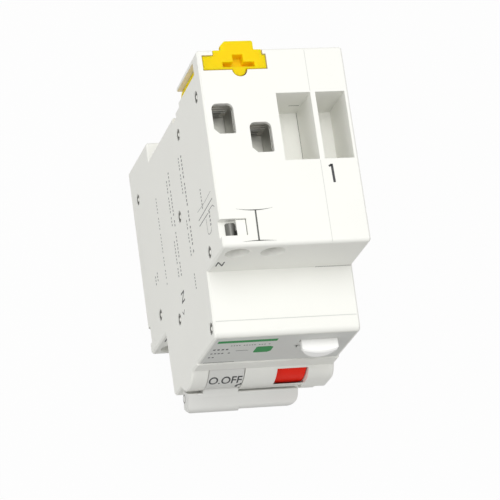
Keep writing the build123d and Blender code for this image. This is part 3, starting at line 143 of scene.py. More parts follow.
def front_face(depth):
    """Frame of a face that looks forward, at a depth."""
    return face_frame(at(0, depth, 0), (1, 0, 0), (0, 0, 1))


def end_face(way, height=END_Z):
    """Frame of a face that looks up where way is 1 and down where it is -1."""
    return face_frame(at(0, 0, way * height), (1, 0, 0), (0, way, 0))


def left_face(x):
    """Frame of a face that looks left: its X is the depth and its Y the height."""
    return face_frame(at(x, 0, 0), (0, -1, 0), (0, 0, 1))


def object_of(name, data, material=None):
    """Puts a mesh or a curve into the scene as an object at the origin."""
    piece = bpy.data.objects.new(name, data)
    bpy.context.scene.collection.objects.link(piece)
    if material is not None:
        data.materials.clear()
        data.materials.append(material)
    return piece


def mesh_of(name, shape):
    """Turns an edited shape into a mesh."""
    mesh = bpy.data.meshes.new(name)
    shape.to_mesh(mesh)
    shape.free()
    return mesh


def outward_mesh(name, shape):
    """Turns an edited shape into a mesh whose faces all point outwards."""
    bmesh.ops.recalc_face_normals(shape, faces=shape.faces)
    return mesh_of(name, shape)


def raised(outline, height):
    """An outline in X and Y, raised along Z into a solid of one thickness."""
    shape = bmesh.new()
    face = shape.faces.new([shape.verts.new((x, y, 0)) for x, y in outline])
    parts = bmesh.ops.extrude_face_region(shape, geom=[face])["geom"]
    lifted = [part for part in parts if isinstance(part, bmesh.types.BMVert)]
    bmesh.ops.translate(shape, verts=lifted, vec=(0, 0, height))
    return shape


def merged_copy(node):
    """An editable copy of a CAD node's mesh, with its loose triangles joined up."""
    shape = bmesh.new()
    shape.from_mesh(NODES[node].data)
    bmesh.ops.remove_doubles(shape, verts=shape.verts, dist=MERGE_GAP * MM)
    return shape


def smooth_by_angle(piece, degrees=40):
    """Shades round stretches smooth and keeps real corners crisp."""
    mesh = piece.data
    mesh.polygons.foreach_set("use_smooth", [True] * len(mesh.polygons))
    mesh.set_sharp_from_angle(angle=math.radians(degrees))


def shaped_mesh(piece):
    """The plain mesh that a piece's modifiers, curve or letters work out to."""
    depsgraph = bpy.context.evaluated_depsgraph_get()
    return bpy.data.meshes.new_from_object(piece.evaluated_get(depsgraph))


def keep_modified(piece):
    """Turns what a piece's modifiers make into its own plain mesh."""
    shaped = shaped_mesh(piece)
    piece.modifiers.clear()
    piece.data = shaped


def curve_mesh(curve):
    """The plain mesh of a curve or of letters, which only need the scene to be worked out."""
    holder = object_of(curve.name, curve)
    mesh = shaped_mesh(holder)
    bpy.data.objects.remove(holder)
    return mesh


def laid_down(piece, axis, place):
    """Turns a piece made along Z a quarter turn about an axis and puts its foot in place."""
    piece.data.transform(Matrix.Translation(place) @ Matrix.Rotation(QUARTER, 4, axis))


def finish_piece(piece, body, slot, *replaced):
    """Rides a piece on its body and lets it stand for CAD nodes; its slot is not used."""
    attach(piece, body)
    if replaced:
        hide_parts(*replaced)


def joined(name, pieces):
    """Joins pieces of one body into a single object."""
    shape = bmesh.new()
    for piece in pieces:
        shape.from_mesh(piece.data)
    mesh = mesh_of(name, shape)
    for material in pieces[0].data.materials:
        mesh.materials.append(material)
    for piece in pieces:
        bpy.data.objects.remove(piece)
    return object_of(name, mesh)


# ---------------------------------------------------------------- node helpers
def add(tree, kind, links=None, **settings):
    """Adds one node with its settings; links gives each input a value or another output."""
    node = tree.nodes.new(kind)
    for name, value in settings.items():
        setattr(node, name, value)
    for socket, source in (links or {}).items():
        if isinstance(source, bpy.types.NodeSocket):
            tree.links.new(source, node.inputs[socket])
        else:
            node.inputs[socket].default_value = source
    return node


def colour(text):
    """An sRGB hex colour as the linear values that a shader takes."""
    parts = [int(text[i : i + 2], 16) / 255 for i in (1, 3, 5)]
    linear = [p / 12.92 if p <= 0.04045 else ((p + 0.055) / 1.055) ** 2.4 for p in parts]
    return (*linear, 1.0)


def new_material(name):
    """An empty material with its output, and Object coordinates to draw patterns on."""
    material = bpy.data.materials.new(name)
    material.use_nodes = True
    tree = material.node_tree
    tree.nodes.clear()
    place = add(tree, "ShaderNodeTexCoord").outputs["Object"]
    return material, tree, place


def per_metre(size):
    """Texture scale for a pattern whose repeat is a size in millimetres."""
    return 1.0 / (size * MM)


# ---------------------------------------------------------------- plastics
def moulded_plastic(name, base, roughness, grain=0.4, relief=0.006, shade=0.04, ior=1.53,
                    gloss=0.5, glow=0.0):
    """Injection-moulded plastic: a fine spark-eroded grain and a faint mottling from its flow.

    The real grain is about 0.05 mm. It is drawn several times coarser, so that it shows.
    """
    material, tree, place = new_material(name)
    grit = add(tree, "ShaderNodeTexNoise", {
        "Vector": place, "Scale": per_metre(grain), "Detail": 3.0, "Roughness": 0.6})
    flow = add(tree, "ShaderNodeTexNoise", {
        "Vector": place, "Scale": per_metre(14.0), "Detail": 2.0})
    light = colour(base)
    dark = tuple(c * (1 - shade) for c in light[:3]) + (1.0,)
    tint = add(tree, "ShaderNodeMix", {
        "Factor": flow.outputs["Fac"], "A": dark, "B": light}, data_type="RGBA")
    sheen = add(tree, "ShaderNodeMapRange", {
        "Value": grit.outputs["Fac"], "To Min": roughness - 0.05, "To Max": roughness + 0.06})
    bump = add(tree, "ShaderNodeBump", {
        "Height": grit.outputs["Fac"], "Strength": 0.35, "Distance": relief * MM})
    shader = add(tree, "ShaderNodeBsdfPrincipled", {
        "Base Color": tint.outputs["Result"], "Roughness": sheen.outputs["Result"],
        "IOR": ior, "Specular IOR Level": gloss, "Subsurface Weight": glow,
        "Subsurface Radius": (1.0, 0.7, 0.15), "Subsurface Scale": 2.5 * MM,
        "Normal": bump.outputs["Normal"]})
    add(tree, "ShaderNodeOutputMaterial", {"Surface": shader.outputs["BSDF"]})
    return material


def housing_polyamide():
    """White glass-filled polyamide of the case: warm, dull and finely eroded."""
    return moulded_plastic("white_polyamide", "#F4F4EE", 0.46)


def toggle_polyamide():
    """Toggle plastic, a shade greyer and smoother from the hand's side of the mould."""
    return moulded_plastic("light_grey_polyamide", "#E0E0DC", 0.40, grain=0.5, relief=0.004)


def clip_polyamide():
    """Self-coloured yellow polyamide: waxy, so light soaks in and its hollows glow orange."""
    return moulded_plastic("yellow_polyamide", "#FFD606", 0.45, grain=0.6, relief=0.004,
                           gloss=0.12, glow=0.8)


def button_polycarbonate():
    """Polished white polycarbonate of the push button, glossier than the case."""
    return moulded_plastic("polished_white_polycarbonate", "#FFFFFC", 0.17, grain=1.2,
                           relief=0.0015, shade=0.02, ior=1.585)


def flag_red_plastic():
    """Signal red acetal of the indicator."""
    return moulded_plastic("signal_red_acetal", "#FA2D1B", 0.42, grain=0.8, relief=0.002,
                           gloss=0.1)


def flag_green_plastic():
    """Signal green acetal of the indicator."""
    return moulded_plastic("signal_green_acetal", "#1E8A3C", 0.32, grain=0.8, relief=0.002,
                           gloss=0.25)


def inner_plastic():
    """Natural unpainted polyamide of the inner walls and hubs."""
    return moulded_plastic("natural_polyamide", "#E2DFD2", 0.5, grain=0.5)


def black_thermoset():
    """Black phenolic moulding: dull, with a mineral-filled grain."""
    return moulded_plastic("black_phenolic", "#26262A", 0.48, grain=0.3, relief=0.01, shade=0.25)


def lead_pvc():
    """Black PVC insulation, extruded smooth."""
    return moulded_plastic("black_pvc", "#2B2B2E", 0.42, grain=0.9, relief=0.003, shade=0.1)


def vulcanised_fibre():
    """Red-brown vulcanised fibre: pressed cotton fibres show as streaks."""
    material, tree, place = new_material("vulcanised_fibre")
    stretch = add(tree, "ShaderNodeMapping", {"Vector": place, "Scale": (1.0, 0.2, 1.0)})
    streaks = add(tree, "ShaderNodeTexNoise", {
        "Vector": stretch.outputs["Vector"], "Scale": per_metre(0.5), "Detail": 4.0})
    tint = add(tree, "ShaderNodeMix", {
        "Factor": streaks.outputs["Fac"], "A": colour("#6B2F20"), "B": colour("#96503A")},
        data_type="RGBA")
    bump = add(tree, "ShaderNodeBump", {
        "Height": streaks.outputs["Fac"], "Strength": 0.4, "Distance": 0.02 * MM})
    shader = add(tree, "ShaderNodeBsdfPrincipled", {
        "Base Color": tint.outputs["Result"], "Roughness": 0.62, "IOR": 1.5,
        "Normal": bump.outputs["Normal"]})
    add(tree, "ShaderNodeOutputMaterial", {"Surface": shader.outputs["BSDF"]})
    return material


# ---------------------------------------------------------------- metals
def worked_metal(name, base, worn, roughness, streak=(1.0, 0.12, 1.0), size=0.5, coat=0.0):
    """Rolled, drawn or plated metal: fine streaks along the way that it was worked.

    Real streaks are a few hundredths of a millimetre wide and are drawn coarser, to show.
    """
    material, tree, place = new_material(name)
    stretch = add(tree, "ShaderNodeMapping", {"Vector": place, "Scale": streak})
    lines = add(tree, "ShaderNodeTexNoise", {
        "Vector": stretch.outputs["Vector"], "Scale": per_metre(size), "Detail": 4.0})
    patches = add(tree, "ShaderNodeTexNoise", {
        "Vector": place, "Scale": per_metre(5.0), "Detail": 2.0})
    tint = add(tree, "ShaderNodeMix", {
        "Factor": patches.outputs["Fac"], "A": colour(base), "B": colour(worn)},
        data_type="RGBA")
    sheen = add(tree, "ShaderNodeMapRange", {
        "Value": lines.outputs["Fac"], "To Min": roughness - 0.08, "To Max": roughness + 0.10})
    bump = add(tree, "ShaderNodeBump", {
        "Height": lines.outputs["Fac"], "Strength": 0.2, "Distance": 0.008 * MM})
    shader = add(tree, "ShaderNodeBsdfPrincipled", {
        "Base Color": tint.outputs["Result"], "Metallic": 1.0,
        "Roughness": sheen.outputs["Result"], "Coat Weight": coat,
        "Normal": bump.outputs["Normal"]})
    add(tree, "ShaderNodeOutputMaterial", {"Surface": shader.outputs["BSDF"]})
    return material


def zinc_steel():
    """Zinc-plated steel of screws, clamp teeth, pins and the coil's yoke: a soft blue-grey."""
    return worked_metal("zinc_plated_steel", "#C4C5C3", "#ABACAA", 0.34)


def pressed_steel():
    """Pressed steel of cages and strand stops: a grey passivated zinc, duller in its bends."""
    return worked_metal("passivated_steel", "#C2C2BC", "#ADADA6", 0.42)


def burnished_steel():
    """Darkened steel of rivet collars and test contacts: painted shade for the shadow in the gap round each rivet
    and in the contacts' notch.
    """
    return worked_metal("burnished_steel", "#747470", "#62625E", 0.46)


def sheared_steel():
    """Freshly sheared end of a rivet's core, bright and matt."""
    return worked_metal("bright_sheared_steel", "#F0F0EB", "#E2E2DC", 0.55)


def wire_steel():
    """Drawn spring wire, darker from its heat treatment."""
    return worked_metal("drawn_spring_steel", "#A5A6A8", "#8C8D90", 0.26, size=0.3)


def rolled_copper():
    """Rolled copper of strips, blades and braid, with light tarnish."""
    return worked_metal("rolled_copper", "#D39070", "#B9735A", 0.30, streak=(1.0, 1.0, 0.12))


def stamped_brass():
    """Stamped brass of the leaf contact behind the test button."""
    return worked_metal("stamped_brass", "#D9BC74", "#C4A35C", 0.28, streak=(0.12, 1.0, 1.0))


def silver_alloy():
    """Silver contact alloy, dull white and a little pitted."""
    return worked_metal("silver_contact_alloy", "#DEDCD6", "#C2BEB4", 0.36,
                        streak=(1.0, 1.0, 1.0), size=0.25)


def thermal_bimetal():
    """Rolled thermostat bimetal, grey-brown."""
    return worked_metal("thermostat_bimetal", "#A39C90", "#8F877A", 0.34,
                        streak=(1.0, 1.0, 0.1))


def enamelled_wire():
    """Copper wire under its clear amber enamel."""
    return worked_metal("enamelled_copper_wire", "#B4602F", "#9A4A22", 0.22, size=0.8, coat=0.7)


def wound_core():
    """Tape-wound soft magnetic core: the edges of its strip show as fine rings."""
    material, tree, place = new_material("tape_wound_core")
    low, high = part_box("toroid_core")
    middle = (low + high) / 2
    centred = add(tree, "ShaderNodeMapping", {
        "Vector": place, "Location": tuple(-c for c in middle)})
    rings = add(tree, "ShaderNodeTexWave", {
        "Vector": centred.outputs["Vector"], "Scale": per_metre(0.35) / 20, "Distortion": 0.4},
        wave_type="RINGS", rings_direction="X")
    tint = add(tree, "ShaderNodeMix", {
        "Factor": rings.outputs["Fac"], "A": colour("#3C3C40"), "B": colour("#6E6E74")},
        data_type="RGBA")
    bump = add(tree, "ShaderNodeBump", {
        "Height": rings.outputs["Fac"], "Strength": 0.4, "Distance": 0.02 * MM})
    shader = add(tree, "ShaderNodeBsdfPrincipled", {
        "Base Color": tint.outputs["Result"], "Metallic": 0.9, "Roughness": 0.42,
        "Normal": bump.outputs["Normal"]})
    add(tree, "ShaderNodeOutputMaterial", {"Surface": shader.outputs["BSDF"]})
    return material


# ---------------------------------------------------------------- board, parts and ink
def solder_mask():
    """Glass-fibre board under green solder mask, with its woven glass just showing."""
    material, tree, place = new_material("green_solder_mask")
    weave = add(tree, "ShaderNodeTexBrick", {
        "Vector": place, "Color1": colour("#14592F"), "Color2": colour("#1B6A39"),
        "Mortar": colour("#0E4A26"), "Scale": per_metre(1.0), "Mortar Size": 0.03,
        "Brick Width": 0.9, "Row Height": 0.45})
    shader = add(tree, "ShaderNodeBsdfPrincipled", {
        "Base Color": weave.outputs["Color"], "Roughness": 0.24, "IOR": 1.55,
        "Coat Weight": 0.3})
    add(tree, "ShaderNodeOutputMaterial", {"Surface": shader.outputs["BSDF"]})
    return material


def dipped_lacquer():
    """Blue epoxy dip of the small components, slightly lumpy."""
    return moulded_plastic("blue_epoxy_dip", "#23407A", 0.22, grain=1.5, relief=0.02, shade=0.15)


def banded_lacquer():
    """Beige resistor lacquer with painted colour bands along its length."""
    material, tree, place = new_material("banded_resistor_lacquer")
    low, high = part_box("test_resistor")
    height = add(tree, "ShaderNodeSeparateXYZ", {"Vector": place})
    share = add(tree, "ShaderNodeMapRange", {
        "Value": height.outputs["Z"], "From Min": low.z, "From Max": high.z})
    bands = add(tree, "ShaderNodeValToRGB", {"Fac": share.outputs["Result"]})
    ramp = bands.color_ramp
    ramp.interpolation = "CONSTANT"
    beige = "#C9B083"
    stops = [(0.16, "#7A3F1C"), (0.24, beige), (0.34, "#1A1A1A"), (0.42, beige),
             (0.52, "#B4231D"), (0.60, beige), (0.78, "#B8933A"), (0.86, beige)]
    ramp.elements[0].color = colour(beige)
    ramp.elements[1].position = stops[-1][0]
    ramp.elements[1].color = colour(stops[-1][1])
    for position, shade in stops[:-1]:
        ramp.elements.new(position).color = colour(shade)
    shader = add(tree, "ShaderNodeBsdfPrincipled", {
        "Base Color": bands.outputs["Color"], "Roughness": 0.2, "IOR": 1.5, "Coat Weight": 0.5})
    add(tree, "ShaderNodeOutputMaterial", {"Surface": shader.outputs["BSDF"]})
    return material


def printing_ink(name, base, roughness=0.55):
    """Pad-printed ink: a thin matt film that is not quite even."""
    return moulded_plastic(name, base, roughness, grain=0.25, relief=0.002, shade=0.12, ior=1.48,
                           gloss=0.3)


INK_DARK = printing_ink("charcoal_ink", "#4A4B4D")  # words and terminal numbers
INK_GREY = printing_ink("grey_ink", "#7C7D7D")  # side print, thinner and paler
INK_GREEN = printing_ink("green_ink", "#0A8C40")  # stripe and patch of the label
INK_LINE = printing_ink("shadow_line", "#62635F")  # narrow gaps that hold a shadow
INK_FAINT = printing_ink("hair_joint", "#DADBD6")  # joints closed too tight for a shadow
LABEL_FILM = printing_ink("grey_label_film", "#DFE0DC", 0.5)  # matt film under the print
WHITE = housing_polyamide()
STEEL = zinc_steel()
DULL_STEEL = pressed_steel()
# painted shade on the rivet collars and the test contacts
DARK_STEEL = burnished_steel()
BRIGHT_STEEL = sheared_steel()
WIRE = wire_steel()
COPPER = rolled_copper()
ENAMEL = enamelled_wire()
FINISHES = {
    "housing_plastic": WHITE,
    "clip_plastic": clip_polyamide(),
    "toggle_plastic": toggle_polyamide(),
    "button_plastic": button_polycarbonate(),
    "flag_red": flag_red_plastic(),
    "flag_green": flag_green_plastic(),
    "inner_plastic": inner_plastic(),
    "steel": STEEL,
    "spring_steel": WIRE,
    "copper": COPPER,
    "brass": stamped_brass(),
    "silver": silver_alloy(),
    "bimetal": thermal_bimetal(),
    "fibre": vulcanised_fibre(),
    "core_alloy": wound_core(),
    "enamelled_copper": ENAMEL,
    "relay_plastic": black_thermoset(),
    "board": solder_mask(),
    "component": dipped_lacquer(),
    "resistor": banded_lacquer(),
    "lead_insulation": lead_pvc(),
}


def slot_of(node):
    """The material slot that the record gives a CAD node."""
    for part in frame["record"]["subparts"]:
        if part["node"] == node:
            return part["material_slot"]
    raise KeyError(node)


def body_of(node):
    """The body that carries a CAD node."""
    for body, held in frame["record"]["behaviour"]["bodies"].items():
        if node in held:
            return body
    raise KeyError(node)


def dress_nodes():
    """Gives every carried-over CAD node the finish of its slot."""
    for name, node in NODES.items():
        node.data.materials.clear()
        node.data.materials.append(FINISHES[slot_of(name)])
    # Painted shade: the probe contacts take the darkened steel, for the shade in their notch.
    NODES["probe_contacts"].data.materials[0] = DARK_STEEL


# ---------------------------------------------------------------- softened mouldings
def softened(node, radius, finish=None):
    """A copy of a piece whose sharp edges are rounded off as its mould or die leaves them."""
    shape = merged_copy(node)
    bmesh.ops.dissolve_limit(shape, angle_limit=math.radians(0.6), verts=shape.verts,
                             edges=shape.edges, delimit={"NORMAL"})
    name = node + "_moulded"
    slot = slot_of(node)
    piece = object_of(name, mesh_of(name, shape), finish or FINISHES[slot])
    bevel = piece.modifiers.new("rounded edges", "BEVEL")
    bevel.width = radius * MM
    bevel.segments = EDGE_STEPS
    bevel.limit_method = "ANGLE"
    bevel.angle_limit = math.radians(32)
    bevel.use_clamp_overlap = True
    keep_modified(piece)
    smooth_by_angle(piece, 30)
    flatten = piece.modifiers.new("flat faces stay flat", "WEIGHTED_NORMAL")
    flatten.mode = "FACE_AREA"
    flatten.weight = 80
    flatten.keep_sharp = True
    keep_modified(piece)
    finish_piece(piece, body_of(node), slot, node)


# ---------------------------------------------------------------- geometry node trees
def new_tree(name, inputs):
    """A geometry tree with its named inputs, and the outputs that hand them on inside it."""
    tree = bpy.data.node_groups.new(name, "GeometryNodeTree")
    for label, kind in inputs.items():
        tree.interface.new_socket(name=label, in_out="INPUT", socket_type="NodeSocket" + kind)
    tree.interface.new_socket(name="Geometry", in_out="OUTPUT",
                              socket_type="NodeSocketGeometry")
    return tree, add(tree, "NodeGroupInput").outputs


def end_tree(tree, geometry, finish):
    """Ends a geometry tree: its copies become real and take their finish."""
    solid = add(tree, "GeometryNodeRealizeInstances", {"Geometry": geometry})
    shown = add(tree, "GeometryNodeSetMaterial", {
        "Geometry": solid.outputs["Geometry"], "Material": finish})
    add(tree, "NodeGroupOutput", {"Geometry": shown.outputs["Geometry"]})
    return tree


def coil_tree():
    """A round wire wound in a helix along Z: springs, threads and windings."""
    tree, given = new_tree("wound wire", {
        "Turns": "Float", "Radius": "Float", "Length": "Float", "Wire": "Float",
        "Finish": "Material"})
    path = add(tree, "GeometryNodeCurveSpiral", {
        "Resolution": 28, "Rotations": given["Turns"], "Start Radius": given["Radius"],
        "End Radius": given["Radius"], "Height": given["Length"]})
    section = add(tree, "GeometryNodeCurvePrimitiveCircle", {
        "Resolution": 10, "Radius": given["Wire"]})
    wire = add(tree, "GeometryNodeCurveToMesh", {
        "Curve": path.outputs["Curve"], "Profile Curve": section.outputs["Curve"],
        "Fill Caps": True})
    return end_tree(tree, wire.outputs["Mesh"], given["Finish"])


def ring_winding_tree():
    """Wire loops laid side by side round one stretch of a ring whose axis is Z."""
    tree, given = new_tree("ring winding", {
        "Ring Radius": "Float", "Loop Width": "Float", "Loop Height": "Float",
        "Start": "Float", "Sweep": "Float", "Loops": "Int", "Wire": "Float",
        "Finish": "Material"})
    stretch = add(tree, "GeometryNodeCurveArc", {
        "Resolution": given["Loops"], "Radius": given["Ring Radius"],
        "Start Angle": given["Start"], "Sweep Angle": given["Sweep"]}, mode="RADIUS")
    outline = add(tree, "GeometryNodeCurvePrimitiveQuadrilateral", {
        "Width": given["Loop Width"], "Height": given["Loop Height"]})
    eased = add(tree, "GeometryNodeFilletCurve", {
        "Curve": outline.outputs["Curve"], "Radius": 0.6 * MM, "Count": 4}, mode="POLY")
    section = add(tree, "GeometryNodeCurvePrimitiveCircle", {
        "Resolution": 8, "Radius": given["Wire"]})
    loop = add(tree, "GeometryNodeCurveToMesh", {
        "Curve": eased.outputs["Curve"], "Profile Curve": section.outputs["Curve"]})
    tangent = add(tree, "GeometryNodeInputTangent")
    facing = add(tree, "FunctionNodeAlignRotationToVector", {
        "Vector": tangent.outputs["Tangent"]}, axis="Z")
    level = add(tree, "FunctionNodeAlignRotationToVector", {
        "Rotation": facing.outputs["Rotation"], "Vector": (0.0, 0.0, 1.0)},
        axis="X", pivot_axis="Z")
    points = add(tree, "GeometryNodeInstanceOnPoints", {
        "Points": stretch.outputs["Curve"], "Instance": loop.outputs["Mesh"],
        "Rotation": level.outputs["Rotation"]})
    return end_tree(tree, points.outputs["Instances"], given["Finish"])


def place_tree():
    """One copy of a piece at each point of a mesh, such as a rivet in each hole."""
    tree, given = new_tree("one at each place", {
        "Geometry": "Geometry", "Piece": "Object", "Finish": "Material"})
    piece = add(tree, "GeometryNodeObjectInfo", {"Object": given["Piece"]})
    copies = add(tree, "GeometryNodeInstanceOnPoints", {
        "Points": given["Geometry"], "Instance": piece.outputs["Geometry"]})
    return end_tree(tree, copies.outputs["Instances"], given["Finish"])


def grown(tree, name, inputs, points=()):
    """Runs a tree, on a mesh of points where it takes one, and keeps its plain mesh."""
    mesh = bpy.data.meshes.new(name)
    mesh.from_pydata([tuple(p) for p in points], [], [])
    piece = object_of(name, mesh)
    shape = piece.modifiers.new("shape", "NODES")
    shape.node_group = tree
    for item in tree.interface.items_tree:
        if item.in_out == "INPUT" and item.name in inputs:
            shape[item.identifier] = inputs[item.name]
    keep_modified(piece)
    return piece


COIL = coil_tree()
RING_WINDING = ring_winding_tree()
PLACES = place_tree()


def coil(name, turns, radius, length, wire, finish):
    """A wound wire along Z from the origin; sizes in millimetres."""
    piece = grown(COIL, name, {
        "Turns": float(turns), "Radius": radius * MM, "Length": length * MM,
        "Wire": wire * MM, "Finish": finish})
    smooth_by_angle(piece, 60)
    return piece


def turned(name, outline, finish, steps):
    """A turned piece along Z from its (radius, height) outline in millimetres."""
    shape = bmesh.new()
    rings = []
    for radius, height in outline:
        if radius == 0:
            rings.append([shape.verts.new((0, 0, height * MM))])
            continue
        angles = [2 * math.pi * i / steps for i in range(steps)]
        rings.append([shape.verts.new((radius * MM * math.cos(a), radius * MM * math.sin(a),
                                       height * MM)) for a in angles])
    for lower, upper in zip(rings, rings[1:]):
        for i in range(steps):
            j = (i + 1) % steps
            corners = [lower[i % len(lower)], lower[j % len(lower)],
                       upper[j % len(upper)], upper[i % len(upper)]]
            unique = list(dict.fromkeys(corners))
            if len(unique) > 2:
                shape.faces.new(unique)
    piece = object_of(name, outward_mesh(name, shape), finish)
    smooth_by_angle(piece)
    return piece


# ---------------------------------------------------------------- rivets
def islands(node):
    """Middle of each separate solid of a CAD node, in metres, in the order of its corners."""
    shape = merged_copy(node)
    middles = []
    for first in shape.verts:
        if first.tag:
            continue
        first.tag = True
        member = [first]
        for vert in member:  # grows while the corners joined to it are found
            for edge in vert.link_edges:
                other = edge.other_vert(vert)
                if not other.tag:
                    other.tag = True
                    member.append(other)
        low = Vector([min(v.co[i] for v in member) for i in range(3)])
        high = Vector([max(v.co[i] for v in member) for i in range(3)])
        middles.append((low + high) / 2)
    shape.free()
    return middles


def rivet_set(name, half, finish):
    """One turned shape, the same at both ends, in every rivet hole of the case."""
    outline = half + [(radius, -height) for radius, height in reversed(half)]
    one = turned("one_rivet", outline, finish, 32)
    laid_down(one, "Y", (0, 0, 0))
    piece = grown(PLACES, name, {"Piece": one, "Finish": finish}, islands("rivets"))
    bpy.data.objects.remove(one)
    smooth_by_angle(piece)
    return piece


def make_rivets():
    """Steel rivets: a bright domed core inside a rolled-over collar, darkened with painted shade of the gap round
    it.
    """
    core = RIVET_CORE
    end = RIVET_END
    dome = [(0, end - 0.04), (core * 0.5, end - 0.07), (core * 0.85, end - 0.18),
            (core, end - 0.35)]
    finish_piece(rivet_set("rivet_cores", dome, BRIGHT_STEEL), "case", "steel", "rivets")
    r = RIVET_RADIUS
    rolled = [(core, end - 0.6), (core + 0.08, end - 0.3), (core + 0.25, end - 0.1),
              (core + 0.45, end - 0.02), (r - 0.3, end - 0.06), (r - 0.1, end - 0.2),
              (r, end - 0.4)]
    finish_piece(rivet_set("rivet_collars", rolled, DARK_STEEL), "case", "steel")


# ---------------------------------------------------------------- terminals
def plate(name, outline, thick, finish):
    """A flat sheet piece in X and Y from its outline in millimetres, with eased edges."""
    shape = raised([(x * MM, y * MM) for x, y in outline], thick * MM)
    bmesh.ops.bevel(shape, geom=shape.edges[:], offset=min(thick / 4, 0.05) * MM,
                    segments=EDGE_STEPS, affect="EDGES", clamp_overlap=True)
    piece = object_of(name, outward_mesh(name, shape), finish)
    smooth_by_angle(piece)
    return piece


def mirrored_down(piece, end):
    """Turns a piece made for the upper end over to the lower one, where it goes there."""
    if end == "bottom":
        piece.data.transform(Matrix.Scale(-1, 4, (0, 0, 1)))
        piece.data.flip_normals()
    return piece


def make_serrations(pole, end):
    """Three raised teeth across the clamping face of a cage, bright from the die."""
    low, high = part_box(f"terminal_cage_{pole}_top")
    left, depth = low.x / MM + SHEET, -high.y / MM + CAGE_BAR
    profile = [(0, 0), (3.7, 0), (3.7, 0.2), (3.5, 0.34), (0, 0.34)]
    teeth = []
    for height in (34.6, 33.2, 31.9):
        tooth = plate("tooth", profile, 0.3, STEEL)
        laid_down(tooth, "X", at(left, depth, height))
        teeth.append(tooth)
    piece = mirrored_down(joined(f"clamp_teeth_{pole}_{end}", teeth), end)
    finish_piece(piece, f"cage_{pole}_{end}_body", "steel")


def make_floor_leaf(pole, end):
    """Thin steel leaf on the floor under a cage, which stops the strands of a conductor."""
    low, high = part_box(f"terminal_cage_{pole}_top")
    left, right = low.x / MM + 0.2, high.x / MM - 0.2
    rear, front = -high.y / MM + 0.3, -high.y / MM + 8.4
    outline = [(left + 1.2, -front), (right - 0.4, -front), (right, -front + 0.4),
               (right, -rear - 0.4), (right - 0.4, -rear), (left + 0.4, -rear),
               (left, -rear - 0.4), (left, -front + 1.2)]
    leaf = plate(f"strand_stop_{pole}_{end}", outline, 0.12, DULL_STEEL)
    leaf.data.transform(Matrix.Translation((0, 0, low.z - 0.28 * MM)))
    finish_piece(mirrored_down(leaf, end), "case", "steel")


def make_screw(pole, end):
    """Clamp screw: a cross-recessed cheese head on a threaded shank."""
    node = f"terminal_screw_{pole}_{end}"
    low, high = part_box(node)
    middle = (low + high) / 2
    length = (high.y - low.y) / MM
    head = SCREW_HEAD_THICK
    core = SCREW_RADIUS - 0.28
    rim = SCREW_HEAD_RADIUS
    outline = [(0, 0), (core - 0.35, 0), (core, 0.4), (core, length - head),
               (rim - 0.15, length - head), (rim, length - head + 0.15), (rim, length - 0.45),
               (rim - 0.3, length - 0.08), (rim - 0.55, length), (0, length)]
    shank = turned(node + "_shank", outline, STEEL, 48)
    cut_cross(shank, length)
    turns = (length - head - 0.5) / SCREW_PITCH
    thread = coil(node + "_thread", turns, core - 0.02, turns * SCREW_PITCH, 0.27, STEEL)
    thread.data.transform(Matrix.Translation((0, 0, 0.3 * MM)))
    piece = joined(node + "_detailed", [shank, thread])
    laid_down(piece, "X", (middle.x, high.y, middle.z))
    smooth_by_angle(piece)
    finish_piece(piece, f"screw_{pole}_{end}_body", "steel", node)


def cut_cross(piece, top):
    """Cuts a tapered cross recess into the head of a screw."""
    for turn in (0, 90):
        cutter = bmesh.new()
        bmesh.ops.create_cube(cutter, size=1.0)
        for vert in cutter.verts:
            deep = vert.co.z < 0
            vert.co.x *= (2.2 if deep else 3.2) * MM
            vert.co.y *= (0.5 if deep else 0.8) * MM
            vert.co.z = (top - 1.5 if deep else top + 0.5) * MM
        tool = object_of("cross_tool", outward_mesh("cross_tool", cutter), STEEL)
        tool.data.transform(Matrix.Rotation(math.radians(turn), 4, "Z"))
        recess = piece.modifiers.new("recess", "BOOLEAN")
        recess.operation = "DIFFERENCE"
        recess.solver = "EXACT"
        recess.object = tool
        keep_modified(piece)
        bpy.data.objects.remove(tool)


# ---------------------------------------------------------------- springs, coils and wires
def make_toggle_spring():
    """Torsion spring round the toggle pin."""
    low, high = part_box("toggle_spring")
    middle = (low + high) / 2
    wire = 0.22
    radius = (high.z - low.z) / 2 / MM - wire
    length = (high.x - low.x) / MM - 2 * wire
    piece = coil("torsion_spring", 6, radius, length, wire, WIRE)
    laid_down(piece, "Y", (low.x + wire * MM, middle.y, middle.z))
    finish_piece(piece, "case", "spring_steel", "toggle_spring")


def make_button_spring():
    """Compression spring behind the test button."""
    low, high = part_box("test_button_spring")
    middle = (low + high) / 2
    wire = 0.19
    radius = (high.z - low.z) / 2 / MM - wire
    length = (high.y - low.y) / MM - 2 * wire
    piece = coil("return_spring", 6.5, radius, length, wire, WIRE)
    laid_down(piece, "X", (middle.x, high.y - wire * MM, middle.z))
    finish_piece(piece, "case", "spring_steel", "test_button_spring")
    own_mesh(piece)


def make_trip_coil():
    """Heavy copper winding of the magnetic trip, turn on turn."""
    low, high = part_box("coil_winding")
    middle = (low + high) / 2
    wire = 0.52
    radius = (high.x - low.x) / 2 / MM - wire
    length = (high.z - low.z) / MM - 2 * wire
    piece = coil("trip_coil_turns", length / (2 * wire + 0.12), radius, length, wire, ENAMEL)
    piece.data.transform(Matrix.Translation((middle.x, middle.y, low.z + wire * MM)))
    finish_piece(piece, "case", "enamelled_copper", "coil_winding")


